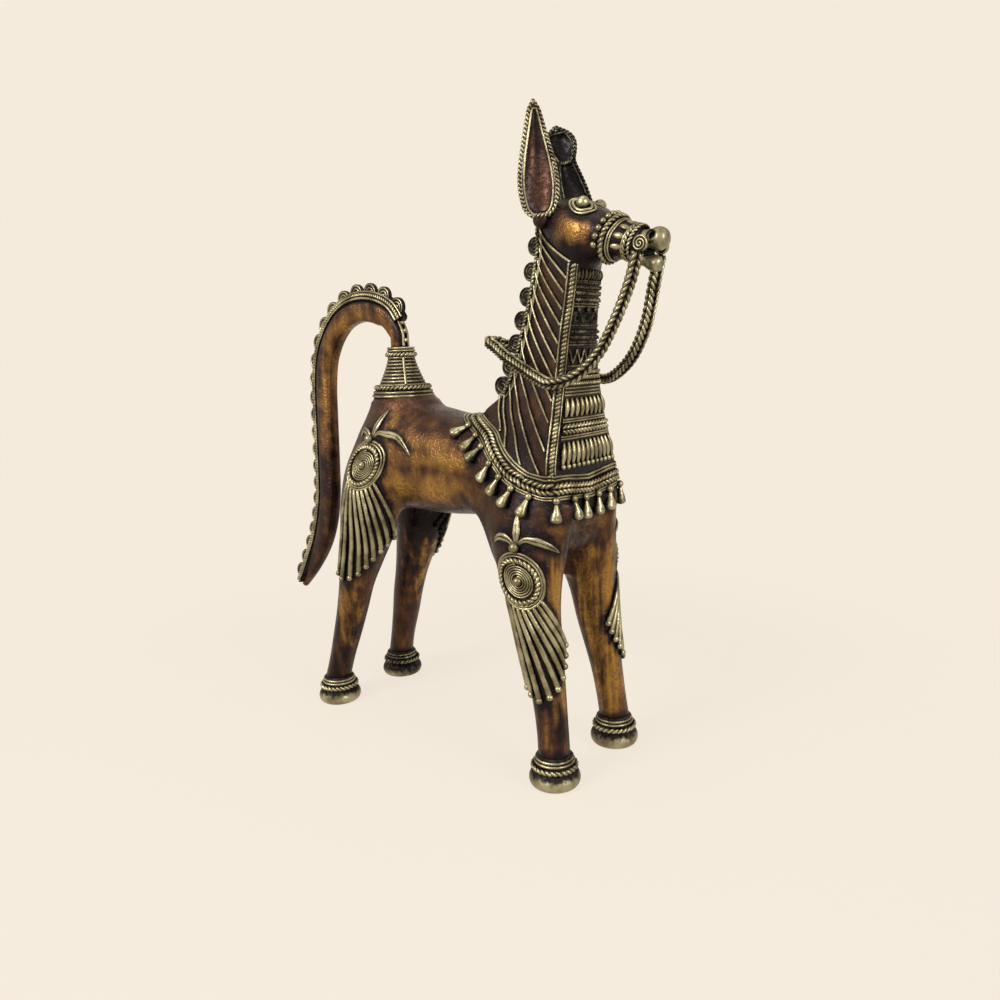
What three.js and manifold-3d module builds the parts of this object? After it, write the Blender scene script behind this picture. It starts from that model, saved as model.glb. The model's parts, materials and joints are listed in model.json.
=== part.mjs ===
// A dhokra horse: a lost-wax brass figure, cast over a clay core and dressed with wax threads.
// Millimetres, +Z up. The horse faces +X, its right flank is at -Y, and its soles stand on z = 0.
import * as THREE from "three";
import { mergeVertices } from "three/addons/utils/BufferGeometryUtils.js";
import Module from "manifold-3d";

const wasm = await Module();
wasm.setup();

// Clearances and walls
const GAP = 0.3; // left between two pieces that touch
const REST = 0.6; // lift of a thread's flat foot over a smooth skin
const PROBE = 3; // how deep below a chord its clearance is measured from
const SINK = 0.9; // how deep a piece is drawn into an uneven seat before it is trimmed
const WALL = 3; // brass over the clay core
const CORE_SPAN = [-39, 77];
const CORE_GAP = 0.6; // the core shrank in its shell
const VENT_RADIUS = 4.5; // hole under the belly through which the core was fed
const VENT_X = 4;

// Hooves
const HOOF_HEIGHT = 15;
const HOOF_RADIUS = 12.1;
const HOOF_SOLE_RADIUS = 9.6;
const HOOF_CUFF_RADIUS = 8;

// Legs from the fetlock up. A row is the height, how far forward and how far out the axis lies,
// and the half length and half width of the section.
const FRONT_LEG = [
  [HOOF_HEIGHT + GAP, 82.3, 25.9, 7.5, 7.5],
  [27, 81, 25.1, 7.5, 7.5],
  [42, 78.8, 24.3, 8.2, 8],
  [65, 74.4, 23.5, 10.4, 9.8],
  [82, 71.5, 23.6, 12.4, 10.8],
  [97, 68.6, 22.6, 16, 12],
  [112, 66.6, 20.4, 19.5, 14],
  [130, 65.5, 19.2, 21.2, 12.2],
  [142, 66, 17, 18, 10],
];
const REAR_LEG = [
  [HOOF_HEIGHT + GAP, -76.4, 25.2, 7.4, 7.4],
  [27, -72.8, 24.2, 7.4, 7.4],
  [44, -67.2, 23, 8.3, 8.3],
  [58, -63, 22, 9.1, 9],
  [73, -58.2, 21.8, 10.4, 9.8],
  [88, -52.6, 21.4, 13.4, 11.4],
  [101, -48.2, 20.8, 16.8, 12.4],
  [120, -44, 19.4, 20.5, 13.6],
  [140, -40, 16.4, 21.5, 13.8],
  [158, -36, 10, 19.5, 13],
  [173, -33.4, 3.5, 15.5, 11.5],
];

// The croup, a mound on the rump that carries the tail socket, laid out as a leg is
const CROUP_TOP = 177.2;
const CROUP = [
  [146, -36.5, 0, 25, 22.5],
  [162, -35.2, 0, 20.4, 19],
  [CROUP_TOP, -34.3, 0, 16, 16],
];

// The barrel from rump to chest. A row is the station along X, the height of the axis,
// and the half height and half width of the section.
const BARREL = [
  [-50, 150, 14, 12],
  [-42, 148, 24, 20],
  [-28, 147, 29, 25],
  [-10, 145, 28, 26],
  [8, 143.5, 26.2, 25.5],
  [28, 142, 25, 25],
  [46, 139.5, 25.2, 25.4],
  [60, 136.5, 26.4, 26.6],
  [73, 132.5, 26.6, 26.2],
  [80, 130, 22.5, 23.5],
  [84, 128, 14.5, 16.5],
  [86, 127, 6, 8],
];
const BARREL_SQUARENESS = 2.25;

// The neck is a wedge: a narrow ridge behind, two flat sides and a flat breast in front.
// A row is the height, the ridge and breast along X, the half widths there,
// and how full the side is between them (1 is flat).
const NECK = [
  [128, 46, 85.6, 12, 25.6, 0.5],
  [139, 36, 84.8, 9, 26.6, 0.5],
  [150, 29, 84, 5.5, 25.6, 0.6],
  [162, 25, 83.4, 3.6, 22.2, 0.75],
  [171, 26.5, 83, 3.1, 19.4, 0.9],
  [178, 36, 82.8, 3, 17.7, 1],
  [186, 42.2, 82.7, 3, 15.8, 1],
  [196, 46.4, 83, 3, 14.2, 1],
  [207, 50.8, 83.8, 3, 13, 1],
  [221, 55.6, 85.7, 3, 11.8, 1],
  [236, 59.6, 87.6, 3, 11.1, 1],
  [250, 63, 88.6, 3, 10, 1],
];
const BREAST_SWELL = 1.2; // how far the breast bulges forward on the centre line

// The head from poll to muzzle, laid out as the barrel is
const HEAD = [
  [61.5, 255.5, 3.2, 3],
  [66, 255, 8.4, 9],
  [74, 252.6, 12.2, 12.4],
  [83, 249.8, 14.4, 13],
  [91, 248.2, 12.6, 12],
  [98, 247, 10.2, 10.2],
  [105, 244.9, 8.5, 8.5],
  [111, 243.3, 7.1, 7.2],
  [115, 242.5, 6.3, 6.5],
];

// Bridle round the muzzle. A band leans forward by its tilt for each millimetre above the head's axis.
const BAND_TILT = 0.4;
const NOSEBAND_X = 101.6;
const NOSEBAND_WIDTH = 3;
const NOSEBAND_HEIGHT = 1.3;
const BEADS = 15;
const BEADS_X = 98.4;
const BEAD_SIZE = 2.4;
const PETALS = 8;
const PETAL_SPAN = 2; // the petals leave the under side of the head bare
const PETAL_X = 105.2;
const PETAL_WIDTH = 2.8;
const PETAL_HEIGHT = 1.2;
const RING_X = 111.8;
const RING_WIDTH = 3.4;
const RING_HEIGHT = 1.3;

// Nose, lower lip and bit rosettes
const NOSE_LENGTH = 11.6;
const NOSE_RADIUS = 4.8;
const NOSE_RISE = 0.6; // the nose sits this much above the end of the head
const NOSTRIL_RADIUS = 1.5;
const NOSTRIL_DEPTH = 2.4;
const LIP_RADIUS = 2.7;
const LIP_LENGTH = 8;
const LIP_DROP = 6.9;
const LIP_TILT = 0.42;
const ROSETTE_RADIUS = 3.1;
const ROSETTE_HEIGHT = 2;
const ROSETTE_X = 118.6;
const ROSETTE_OUT = 7.8;
const ROSETTE_STUD = 1.3; // radius of the stud that joins it to the nose
const ROSETTE_Z = 241;

// Eyes and ears
const EYE_RADIUS = 4.5;
const EYE_X = 89.3;
const EYE_TURN = 0.52; // from straight up, towards the side
const EAR_CUP = 3; // depth of the hollow
const EAR_WALL = 1.7;
const EAR_RIM = 1.4;
// An ear's hollow faces one way at its foot and may turn to another by its tip.
// A row of its shape is the share of its height and the half width there.
const RIGHT_EAR = {
  foot: [70, -11.4, 256.8],
  tip: [69.8, -13, 300.8],
  facing: [[0.76, -0.65], [0.76, -0.65]],
  shape: [[0, 3.6], [0.1, 6], [0.28, 7.1], [0.5, 6], [0.75, 3.4], [0.93, 1.4], [1, 0.4]],
};
const LEFT_EAR = {
  foot: [77.6, 9.2, 259],
  tip: [66.2, 10.6, 296.8],
  facing: [[0.97, 0.2], [0.72, -0.69]],
  shape: [[0, 4], [0.12, 6.6], [0.3, 6.2], [0.5, 4.2], [0.64, 3.5], [0.75, 5.2], [0.86, 5.8], [0.95, 4], [1, 1.4]],
};
const EAR_TWIST = [0.2, 0.8]; // share of the height over which the facing turns

// Tail: the outer line of the rod from its root to the tip
const TAIL_LINE = [
  [-30.8, 0, 204.4],
  [-31.6, 0, 213],
  [-41, 0, 225.4],
  [-60, 0, 230.8],
  [-78, -0.4, 227.6],
  [-91, -1, 217.8],
  [-99.6, -2, 203],
  [-102, -3.4, 186],
  [-101.5, -5, 163],
  [-100.3, -7, 136],
  [-100.6, -8.2, 117],
  [-104.8, -9.6, 97],
  [-112.4, -11, 79],
  [-121.1, -13, 61],
];
const TAIL_DEPTH = 12.2;
const TAIL_WIDTH = 10;
const TAIL_TIP = 3.2; // depth of the rod where it ends
const TAIL_TAPER = 0.78; // share of the length after which the rod narrows
const TAIL_ROOT = 0.74; // size of the rod at its root
const TAIL_FULL = [0.03, 0.12]; // shares of the length between which it grows to its full size
const CREST_HEIGHT = 4.6;
const CREST_FOOT = 3.2; // half width of the crest on the rod
const CREST_EDGE = 1.5; // half width of the crest under the scallops
const CREST_START = 0.058; // share of the length at which the crest starts
const STRAP_START = 0.006; // share of the length at which a low strap leads up to the crest
const STRAP_WIDTH = 4.4;
const STRAP_HEIGHT = 1.6;
const SCALLOP_PITCH = 10.3;
const SCALLOP_RISE = 4.2;

// Socket that the tail grows from, standing on the croup
const SOCKET_RADIUS = 16.2;
const SOCKET_WAIST_RADIUS = 12.4; // where the ringed cone starts, above the foot and its rope
const SOCKET_TOP_RADIUS = 6.9;

// Ornaments on each leg
const MEDALLION_RADIUS = 11.8;
const MEDALLION_HEIGHT = 1.6;
const BOSS_RADIUS = 2.4;
const RAY_SPREAD = 0.85; // how far round the ring the outer rays start, from straight down
const RAY_WIDTH = 2.2;
const RAY_HEIGHT = 1.5;
// A ray's rows are the share of its length and its size there: it ends in a bead.
const RAY_SWELL = [[0, 0.85], [0.25, 0.9], [0.5, 0.95], [0.75, 1], [0.94, 1.35], [1, 0.8]];
const RING_WIRE = 1.5;
const SPRIG_BEAD = 2.3;
const LEAF_WIDTH = 3.2;
const LEAF_HEIGHT = 1.8;

// Mane and sides of the neck. A start is measured down from the top of the neck and a run from that start.
// A share runs across the side from the ridge to the breast corner.
const NECK_TOP = NECK.at(-1)[0];
const MANE_RUN = 72;
const MANE_SHARE = 0.06;
const MANE_CORD_WIDTH = 3;
const CORD_WIDTH = 3.4;
const CORD_HEIGHT = 1.8;
const THREAD_WIDTH = 1.3;
const THREAD_HEIGHT = 0.9;
const SIDE_THREADS = 11;
const RIDGE_START = 1;
const RIDGE_RUN = 63;
const RIDGE_SHARE = 0.17;
const STEM_MARGIN = 1; // how far the line beside the mane goes past the first and last thread
const CORNER_START = 16;
const CORNER_RUN = 84;
const CORNER_SHARE = 0.88;
const CORNER_CORD_START = 14;
const CORNER_CORD_RUN = 89;
const SCROLLS = 7;
const SCROLL_RADIUS = 4.9;
const SCROLL_THICKNESS = 3.4;

// Rows on the breast, from the throat down. Each leaves a gap to the row above, the first to the neck's top.
const BREAST_SHARE = 0.76; // how far the rows reach towards the corner cords
const BREAST_FRINGE = { gap: 16.4, length: 4.4, count: 7, depth: 1.3 };
const ROPES_UPPER = { gap: 1, pitch: 2.4, count: 4, depth: 1.1 };
const BREAST_RINGS = 3;
const RING_GAP = 2.4;
const RING_SIZE = 2.9;
const ROPES_MIDDLE = { gap: 1.8, pitch: 2.4, count: 3, depth: 1.1 };
const ZIGZAGS = 4;
const ZIGZAG_GAP = 1.6;
const ZIGZAG_LENGTH = 6;
const ZIGZAG_WIDTH = 1.7;
const ROPES_LOWER = { gap: 3.8, pitch: 2.4, count: 4, depth: 1.1 };
const RODS_UPPER = { gap: 1.8, length: 9.2, count: 8, depth: 1.5 };
const BREAST_BRAID = { gap: 1.4, pitch: 2.9, count: 2, depth: 1.5 };
const RODS_LOWER = { gap: 1.8, length: 13, count: 10, depth: 1.7 };

// Collar and pendants: the route down the horse's left side from the mane to the breast
const COLLAR_LINE = [
  [18.5, 0, 169.3],
  [22.6, 6.2, 168.3],
  [30.5, 11.6, 165.3],
  [40.7, 16.6, 160.5],
  [51.7, 23.1, 151.6],
  [62.6, 25.9, 144.4],
  [74.7, 26.9, 140.7],
  [84.2, 24.5, 139.3],
  [86, 0, 137.6],
];
const CHEST = [58, 0, 124]; // the collar is laid on the skin along lines out of here
const COLLAR_WIDTH = 4.4;
const COLLAR_HEIGHT = 2.2;
const BORDER_WIDTH = 1.8;
const BORDER_HEIGHT = 1.4;
const PENDANT_START = 0.2; // share of the side's length left bare below the mane
const SIDE_PENDANTS = 8;
const FRONT_PENDANTS = 4; // across the breast, between those at its corners
const HANG = -0.4; // how far below the border's middle a pendant starts
const PENDANT_BALL = 1.7;
const PENDANT_LENGTH = 9;
const PENDANT_RADIUS = 2.7;
const PENDANT_LIFT = 0.7; // how far a pendant's tip stands off the skin
const PENDANT_NECK = 0.9;

// Reins: half of the route, from the bit to the back of the neck
const REIN_RADIUS = 2.5;
const REIN_LINE = [
  [117.6, 9.2, 237.5],
  [114.4, 9.6, 225],
  [110, 11.6, 210],
  [104, 15.4, 196.6],
  [95.4, 20, 188],
  [83.5, 22.6, 185.6],
  [71.5, 18.4, 188.2],
  [59, 13.6, 192.6],
  [46.5, 9.6, 197.8],
  [38.4, 4.6, 201.8],
  [32.6, 3, 204.4],
  [30.2, 0, 205.2],
];

const vec = (x, y, z) => new THREE.Vector3(x, y, z);
const mix = THREE.MathUtils.lerp;
const range = (count) => Array.from({ length: count }, (_, i) => i);
const spread = (from, to, count) => range(count).map((i) => mix(from, to, i / (count - 1)));

// A smooth curve through the rows of a table: the slope at a row comes from its two neighbours.
function through(rows) {
  const last = rows.length - 1;
  const slopes = rows.map((row, i) => {
    const [before, after] = [rows[Math.max(i - 1, 0)], rows[Math.min(i + 1, last)]];
    return row.map((_, k) => (after[k] - before[k]) / (after[0] - before[0]));
  });
  return (station) => {
    const found = rows.findIndex((row) => row[0] > station);
    const i = found < 0 ? last : Math.max(found, 1);
    const [a, b] = [rows[i - 1], rows[i]];
    const span = b[0] - a[0];
    const t = THREE.MathUtils.clamp((station - a[0]) / span, 0, 1);
    const ease = t * t * (3 - 2 * t);
    return a.map((value, k) => {
      const bend = span * t * (1 - t) * (slopes[i - 1][k] * (1 - t) - slopes[i][k] * t);
      return mix(value, b[k], ease) + bend;
    });
  };
}

// A point of a rounded square: squareness 2 is an ellipse, and more is boxier.
function rounded(angle, across, up, squareness) {
  const power = (value) => Math.sign(value) * Math.abs(value) ** (2 / squareness);
  return [across * power(Math.cos(angle)), up * power(Math.sin(angle))];
}

// Triangles over a closed outline, which may have hollows, as places in its list of points
function cap(ring) {
  const next = (i) => ring[(i + 1) % ring.length];
  const normal = ring.reduce((sum, p, i) => sum.add(p.clone().cross(next(i))), vec(0, 0, 0)).normalize();
  const pole = Math.abs(normal.z) < 0.9 ? vec(0, 0, 1) : vec(1, 0, 0);
  const across = pole.cross(normal).normalize();
  const up = normal.clone().cross(across);
  const flat = ring.map((p) => new THREE.Vector2(p.dot(across), p.dot(up)));
  return THREE.ShapeUtils.triangulateShape(flat, []);
}

// A closed skin over rings of equal counts, with its two ends capped,
// or with the last ring joined to the first.
function skin(rings, endless = false) {
  const count = rings[0].length;
  const points = rings.flat();
  const faces = [];
  const joints = endless ? rings.length : rings.length - 1;
  for (let i = 0; i < joints; i++)
    for (let j = 0; j < count; j++) {
      const [here, there] = [i * count, ((i + 1) % rings.length) * count];
      const next = (j + 1) % count;
      faces.push(here + j, here + next, there + next, here + j, there + next, there + j);
    }
  if (!endless) {
    const end = (rings.length - 1) * count;
    faces.push(...cap(rings[0]).flatMap((corners) => corners.toReversed()));
    faces.push(...cap(rings.at(-1)).flatMap((corners) => corners.map((j) => end + j)));
  }
  const geometry = new THREE.BufferGeometry();
  geometry.setAttribute("position", new THREE.Float32BufferAttribute(points.flatMap((p) => p.toArray()), 3));
  geometry.setIndex(faces);
  return geometry;
}

// A closed geometry as a solid for joining and cutting. A skin wound inwards is turned round.
function solid(geometry) {
  const bare = geometry.clone();
  bare.deleteAttribute("normal");
  bare.deleteAttribute("uv");
  const merged = mergeVertices(bare, 1e-4);
  const at = merged.attributes.position;
  const triVerts = new Uint32Array(merged.index.array);
  const corner = (k) => vec().fromBufferAttribute(at, triVerts[k]);
  let volume = 0;
  for (let i = 0; i < triVerts.length; i += 3)
    volume += corner(i).dot(corner(i + 1).cross(corner(i + 2)));
  if (volume < 0)
    for (let i = 0; i < triVerts.length; i += 3)
      [triVerts[i + 1], triVerts[i + 2]] = [triVerts[i + 2], triVerts[i + 1]];
  return new wasm.Manifold(new wasm.Mesh({ numProp: 3, vertProperties: at.array, triVerts }));
}

const join = (solids) => solids.reduce((whole, next) => whole.add(next));

function geometryOf(made) {
  const { vertProperties, triVerts } = made.getMesh();
  const geometry = new THREE.BufferGeometry();
  geometry.setAttribute("position", new THREE.BufferAttribute(vertProperties, 3));
  geometry.setIndex(new THREE.BufferAttribute(triVerts, 1));
  return geometry;
}

// A section carried along a line. Each stop has a place, a side and an up direction, and a size.
function sweep(stops, section, endless = false) {
  const rings = stops.map(({ at, side, up, size = 1 }) =>
    section.map(([u, v]) => at.clone().addScaledVector(side, u * size).addScaledVector(up, v * size)),
  );
  return solid(skin(rings, endless));
}

const circle = (radius, sides) =>
  range(sides).map((i) => {
    const angle = (2 * Math.PI * (i + 0.5)) / sides;
    return [radius * Math.cos(angle), radius * Math.sin(angle)];
  });

// Sections of a thread that lies on a surface with its foot flat: a half round and a plain ridge
const laid = (width, height) => [
  [-width / 2, 0],
  [width / 2, 0],
  [width * 0.3, height],
  [-width * 0.3, height],
];
const ridged = (width, height) => [
  [-width / 2, 0],
  [width / 2, 0],
  [0, height],
];

// A thread laid over a surface: onSurface gives a place and its outward direction at each step.
// A loose thread hangs free, and any other is lifted until the chords between its steps clear the skin.
function thread(steps, onSurface, section, { lift = REST, endless = false, loose = false } = {}) {
  const spots = steps.map(onSurface);
  const count = spots.length;
  const neighbour = (i) => spots[endless ? (i + count) % count : THREE.MathUtils.clamp(i, 0, count - 1)];
  const rises = spots.map((spot, i) =>
    loose ? 0 : Math.max(sag(spot, neighbour(i - 1)), sag(spot, neighbour(i + 1))),
  );
  const stops = spots.map(({ at, up, size }, i) => {
    const side = neighbour(i + 1).at.clone().sub(neighbour(i - 1).at).cross(up).normalize();
    return { at: at.clone().addScaledVector(up, lift + rises[i]), up, size, side };
  });
  return sweep(stops, section, endless);
}

// How far the skin rises over the middle of the chord between two spots
function sag(a, b) {
  const up = a.up.clone().add(b.up).normalize();
  const inside = a.at.clone().lerp(b.at, 0.5).addScaledVector(up, -PROBE);
  return Math.max(0, exit(inside, up).distance - PROBE);
}

const ball = (radius, at) => {
  const geometry = new THREE.OctahedronGeometry(radius, 1);
  return solid(geometry.translate(at.x, at.y, at.z));
};

// A turned piece: rows of radius and height about an axis that leaves its foot along a direction
function turned(rows, sides, foot, axis) {
  const profile = rows.map(([radius, height]) => new THREE.Vector2(radius, height));
  const geometry = new THREE.LatheGeometry(profile, sides);
  geometry.applyQuaternion(new THREE.Quaternion().setFromUnitVectors(vec(0, 1, 0), axis));
  return solid(geometry.translate(foot.x, foot.y, foot.z));
}

// Surfaces of the body
const barrelAt = through(BARREL);
const neckAt = through(NECK);
const headAt = through(HEAD);
const legs = [
  { name: "front_right", at: through(FRONT_LEG), rows: FRONT_LEG, side: -1 },
  { name: "front_left", at: through(FRONT_LEG), rows: FRONT_LEG, side: 1 },
  { name: "rear_right", at: through(REAR_LEG), rows: REAR_LEG, side: -1 },
  { name: "rear_left", at: through(REAR_LEG), rows: REAR_LEG, side: 1 },
];

// A spot on a leg: its height, its turn from straight outwards towards the head, and its lift.
function onLeg(leg, height, turn, lift = 0) {
  const [, x, out, long, wide] = leg.at(height);
  const up = vec(Math.sin(turn) / long, (leg.side * Math.cos(turn)) / wide, 0).normalize();
  const at = vec(x + long * Math.sin(turn), leg.side * (out + wide * Math.cos(turn)), height);
  return { at: at.addScaledVector(up, lift), up };
}

// A spot on the flat side of the neck: share 0 is the ridge and 1 the breast corner.
function onNeckSide(side, height, share, lift = 0) {
  const place = (h, s) => {
    const [, ridge, breast, thin, wide, full] = neckAt(h);
    return vec(mix(ridge, breast, s), side * mix(thin, wide, s ** full), h);
  };
  const step = 0.02;
  const across = place(height, Math.min(share + step, 1)).sub(place(height, Math.max(share - step, 0)));
  const rise = place(height + 1, share).sub(place(height - 1, share));
  const up = across.cross(rise).multiplyScalar(-side).normalize();
  return { at: place(height, share).addScaledVector(up, lift), up };
}

// A spot on the breast: share -1 and 1 are its two corners.
function onBreast(height, share, lift = 0) {
  const [, , breast, , wide] = neckAt(height);
  const up = vec(wide, 2 * BREAST_SWELL * share, 0).normalize();
  const at = vec(breast + BREAST_SWELL * (1 - share * share), wide * share, height);
  return { at: at.addScaledVector(up, lift), up };
}

// A spot on the head: turn 0 is straight up and positive turns go to the horse's left.
function onHead(x, turn, lift = 0) {
  const place = (station, angle) => {
    const [, height, tall, wide] = headAt(station);
    return vec(station, wide * Math.sin(angle), height + tall * Math.cos(angle));
  };
  const round = place(x, turn + 0.02).sub(place(x, turn - 0.02));
  const along = place(x + 0.5, turn).sub(place(x - 0.5, turn));
  const up = along.cross(round).normalize();
  return { at: place(x, turn).addScaledVector(up, lift), up };
}

const turns = (count) => range(count).map((i) => (2 * Math.PI * i) / count);

function barrelSkin(grow) {
  const [first, last] = [BARREL[0][0], BARREL.at(-1)[0]];
  const rings = spread(first - grow, last + grow, 14).map((x) => {
    const [, height, tall, wide] = barrelAt(x);
    return turns(18).map((angle) => {
      const [y, z] = rounded(angle, wide + grow, tall + grow, BARREL_SQUARENESS);
      return vec(x, y, height + z);
    });
  });
  return solid(skin(rings));
}

function legSkin(leg, grow) {
  const [first, last] = [leg.rows[0][0], leg.rows.at(-1)[0]];
  const rings = spread(first, last, leg.rows.length).map((height) =>
    turns(12).map((turn) => onLeg(leg, height, turn, grow).at),
  );
  return solid(skin(rings));
}

function neckSkin(grow) {
  const shares = spread(0, 1, 5);
  const rings = spread(NECK[0][0], NECK.at(-1)[0], 12).map((height) => [
    ...shares.map((s) => onNeckSide(-1, height, s, 0).at.add(vec(grow * (2 * s - 1), -grow, 0))),
    ...spread(-0.5, 0.5, 3).map((s) => onBreast(height, s, grow).at),
    ...shares.toReversed().map((s) => onNeckSide(1, height, s, 0).at.add(vec(grow * (2 * s - 1), grow, 0))),
  ]);
  return solid(skin(rings));
}

function headSkin(grow) {
  const [first, last] = [HEAD[0][0], HEAD.at(-1)[0]];
  const rings = spread(first - grow, last, 10).map((x) =>
    turns(14).map((turn) => onHead(x, turn, grow).at.setX(x)),
  );
  return solid(skin(rings));
}

const croup = { at: through(CROUP), rows: CROUP, side: 1 };
const bodySkin = (grow) =>
  join([
    barrelSkin(grow), neckSkin(grow), headSkin(grow),
    ...[...legs, croup].map((limb) => legSkin(limb, grow)),
  ]);

const figure = bodySkin(0);
const seat = bodySkin(GAP); // the body with its clearance, which trims what lies on it

// The clay core fills the barrel inside its brass wall, and a vent leads out under the belly.
function barrelCore(inset) {
  const [first, last] = CORE_SPAN;
  const rings = spread(first + inset, last - inset, 9).map((x) => {
    const [, height, tall, wide] = barrelAt(x);
    return turns(12).map((angle) => {
      const [y, z] = rounded(angle, wide - inset, tall - inset, BARREL_SQUARENESS);
      return vec(x, y, height + z);
    });
  });
  return solid(skin(rings));
}
const [, ventTop, ventDepth] = barrelAt(VENT_X);
const vent = turned(
  [[0, 0], [VENT_RADIUS, 0], [VENT_RADIUS, ventDepth], [0, ventDepth]],
  12, vec(VENT_X, 0, ventTop - ventDepth - WALL), vec(0, 0, 1),
);
const casting = figure.subtract(barrelCore(WALL)).subtract(vent);

// Where a line of sight from inside the figure leaves its skin
const bothSides = new THREE.MeshBasicMaterial({ side: THREE.DoubleSide });
const figureMesh = new THREE.Mesh(geometryOf(figure), bothSides);
const exit = (from, way) =>
  new THREE.Raycaster(from, way.clone().normalize()).intersectObject(figureMesh)[0];

// The same spots as above, moved out to the skin where another part of the body covers them
function overLeg(leg, height, turn, lift = 0) {
  const [, x, out] = leg.at(height);
  const axis = vec(x, leg.side * out, height);
  const { at, up } = onLeg(leg, height, turn);
  return { at: exit(axis, at.sub(axis)).point.addScaledVector(up, lift), up };
}
function overFlank(side, x, height, lift = 0) {
  const { point, face } = exit(vec(x, 0, height), vec(0, side, 0));
  return { at: point.addScaledVector(face.normal, lift), up: face.normal.clone() };
}
function overNeck(side, height, share) {
  const { at, up } = onNeckSide(side, height, share);
  return { at: exit(at.clone().setY(0), vec(0, side, 0)).point, up };
}

const BRASS = { color: 0xb5a468, roughness: 0.4, metalness: 0.9 };
const BRONZE = { color: 0x6b4724, roughness: 0.45, metalness: 0.75 };
const CLAY = { color: 0x6e5a48, roughness: 0.95, metalness: 0 };
const horse = new THREE.Group();

function piece(name, made, finish) {
  const mesh = new THREE.Mesh(geometryOf(made), new THREE.MeshStandardMaterial(finish));
  mesh.name = name;
  horse.add(mesh);
}
const ornament = (name, made) => piece(name, made.subtract(seat), BRASS);

piece("body_casting", casting, BRONZE);
piece("clay_core", barrelCore(WALL + CORE_GAP), CLAY);

// Hooves: a bell foot with a bulging rim, a rope band and a double cuff
for (const leg of legs) {
  const [, x, out] = leg.at(leg.rows[0][0]);
  const rim = HOOF_HEIGHT * 0.3;
  const profile = [
    [0, 0],
    [HOOF_SOLE_RADIUS, 0],
    [HOOF_RADIUS - 0.8, rim * 0.45],
    [HOOF_RADIUS, rim * 0.9],
    [HOOF_RADIUS - 0.6, HOOF_HEIGHT * 0.4],
    [HOOF_CUFF_RADIUS + 1.6, HOOF_HEIGHT * 0.53],
    [HOOF_CUFF_RADIUS + 2, HOOF_HEIGHT * 0.65],
    [HOOF_CUFF_RADIUS + 0.7, HOOF_HEIGHT * 0.78],
    [HOOF_CUFF_RADIUS, HOOF_HEIGHT],
    [0, HOOF_HEIGHT],
  ];
  piece(`hoof_${leg.name}`, turned(profile, 12, vec(x, leg.side * out, 0), vec(0, 0, 1)), BRASS);
}

// Leg ornaments: the height of the medallion's centre, its turn from straight outwards, the height and turn
// at which each ray of the fan ends, and the routes of the leaves, along and up from the sprig's bead
const DRESS = {
  front: {
    height: 98.5,
    turn: 0.16,
    hem: [[46, -0.75], [43.8, -0.35], [42, 0.15], [44, 0.72], [47.5, 1.2], [52, 1.55], [56.5, 1.8], [61, 1.98], [65.5, 2.1]],
    flat: false,
    leaves: [
      [[0, 0], [0.4, 7], [0.2, 14]],
      [[0, 0], [-4.5, 3.4], [-9.6, 3.6], [-15, 0.4]],
      [[0, 0], [4, 3.4], [9, 3.3], [16, 1.2], [24, -2.6]],
    ],
  },
  rear: {
    height: 143,
    turn: 0.12,
    hem: [[80, -0.45], [77.5, -0.08], [79, 0.38], [82, 0.74], [86.5, 0.98], [91, 1.17], [95.5, 1.37], [99, 1.6], [102, 1.92]],
    flat: true,
    leaves: [
      [[0, 0], [3.4, 7], [7.8, 14]],
      [[0, 0], [-4, 3.6], [-8.5, 4.2], [-10.5, 1]],
      [[0, 0], [5, 3.4], [10, 3.2], [19, 1.8], [25, -2.2], [29.5, -7]],
    ],
  },
};

// A spot at a distance and bearing from the medallion's centre; bearing 0 is up and positive is forward.
function aroundCentre(leg, dress, reach, bearing, lift = 0) {
  const level = dress.height + reach * Math.cos(bearing);
  const turn = dress.turn + (reach * Math.sin(bearing)) / leg.at(level)[3];
  return overLeg(leg, level, turn, lift);
}

// Medallion: a boss, a dished face and a raised rope ring
function medallion(leg, dress) {
  const rows = [
    [0, MEDALLION_HEIGHT + 1.6],
    [BOSS_RADIUS, MEDALLION_HEIGHT + 0.8],
    [BOSS_RADIUS + 0.5, MEDALLION_HEIGHT * 0.6],
    [MEDALLION_RADIUS * 0.7, MEDALLION_HEIGHT * 0.8],
    [MEDALLION_RADIUS * 0.78, MEDALLION_HEIGHT + 0.5],
    [MEDALLION_RADIUS * 0.94, MEDALLION_HEIGHT + 0.5],
    [MEDALLION_RADIUS, MEDALLION_HEIGHT * 0.5],
    ...spread(MEDALLION_RADIUS, 0, 4).map((radius) => [radius, 0]),
  ];
  const rings = rows.map(([radius, height]) =>
    turns(12).map((angle) => aroundCentre(leg, dress, Math.max(radius, 0.02), angle, REST + height).at),
  );
  return solid(skin(rings));
}

// Fan: a wire ring round the medallion, from whose lower rim rays hang to a slanting hem
function fan(leg, dress) {
  const radius = MEDALLION_RADIUS + GAP + RING_WIRE / 2;
  const wire = ridged(RING_WIRE, RAY_HEIGHT);
  const onRing = (angle) => aroundCentre(leg, dress, radius, angle);
  const ring = thread(turns(12), onRing, wire, { endless: true });
  const rays = dress.hem.map(([hem, hemTurn], i) => {
    const root = Math.PI + mix(RAY_SPREAD, -RAY_SPREAD, i / (dress.hem.length - 1));
    const top = { height: dress.height + radius * Math.cos(root), along: radius * Math.sin(root) };
    const topTurn = dress.turn + top.along / leg.at(top.height)[3];
    const spot = ([t, size]) => {
      const place = overLeg(leg, mix(top.height, hem, t), mix(topTurn, hemTurn, t));
      return { ...place, size };
    };
    return thread(RAY_SWELL, spot, ridged(RAY_WIDTH, RAY_HEIGHT));
  });
  return join([ring, ...rays]);
}

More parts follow.
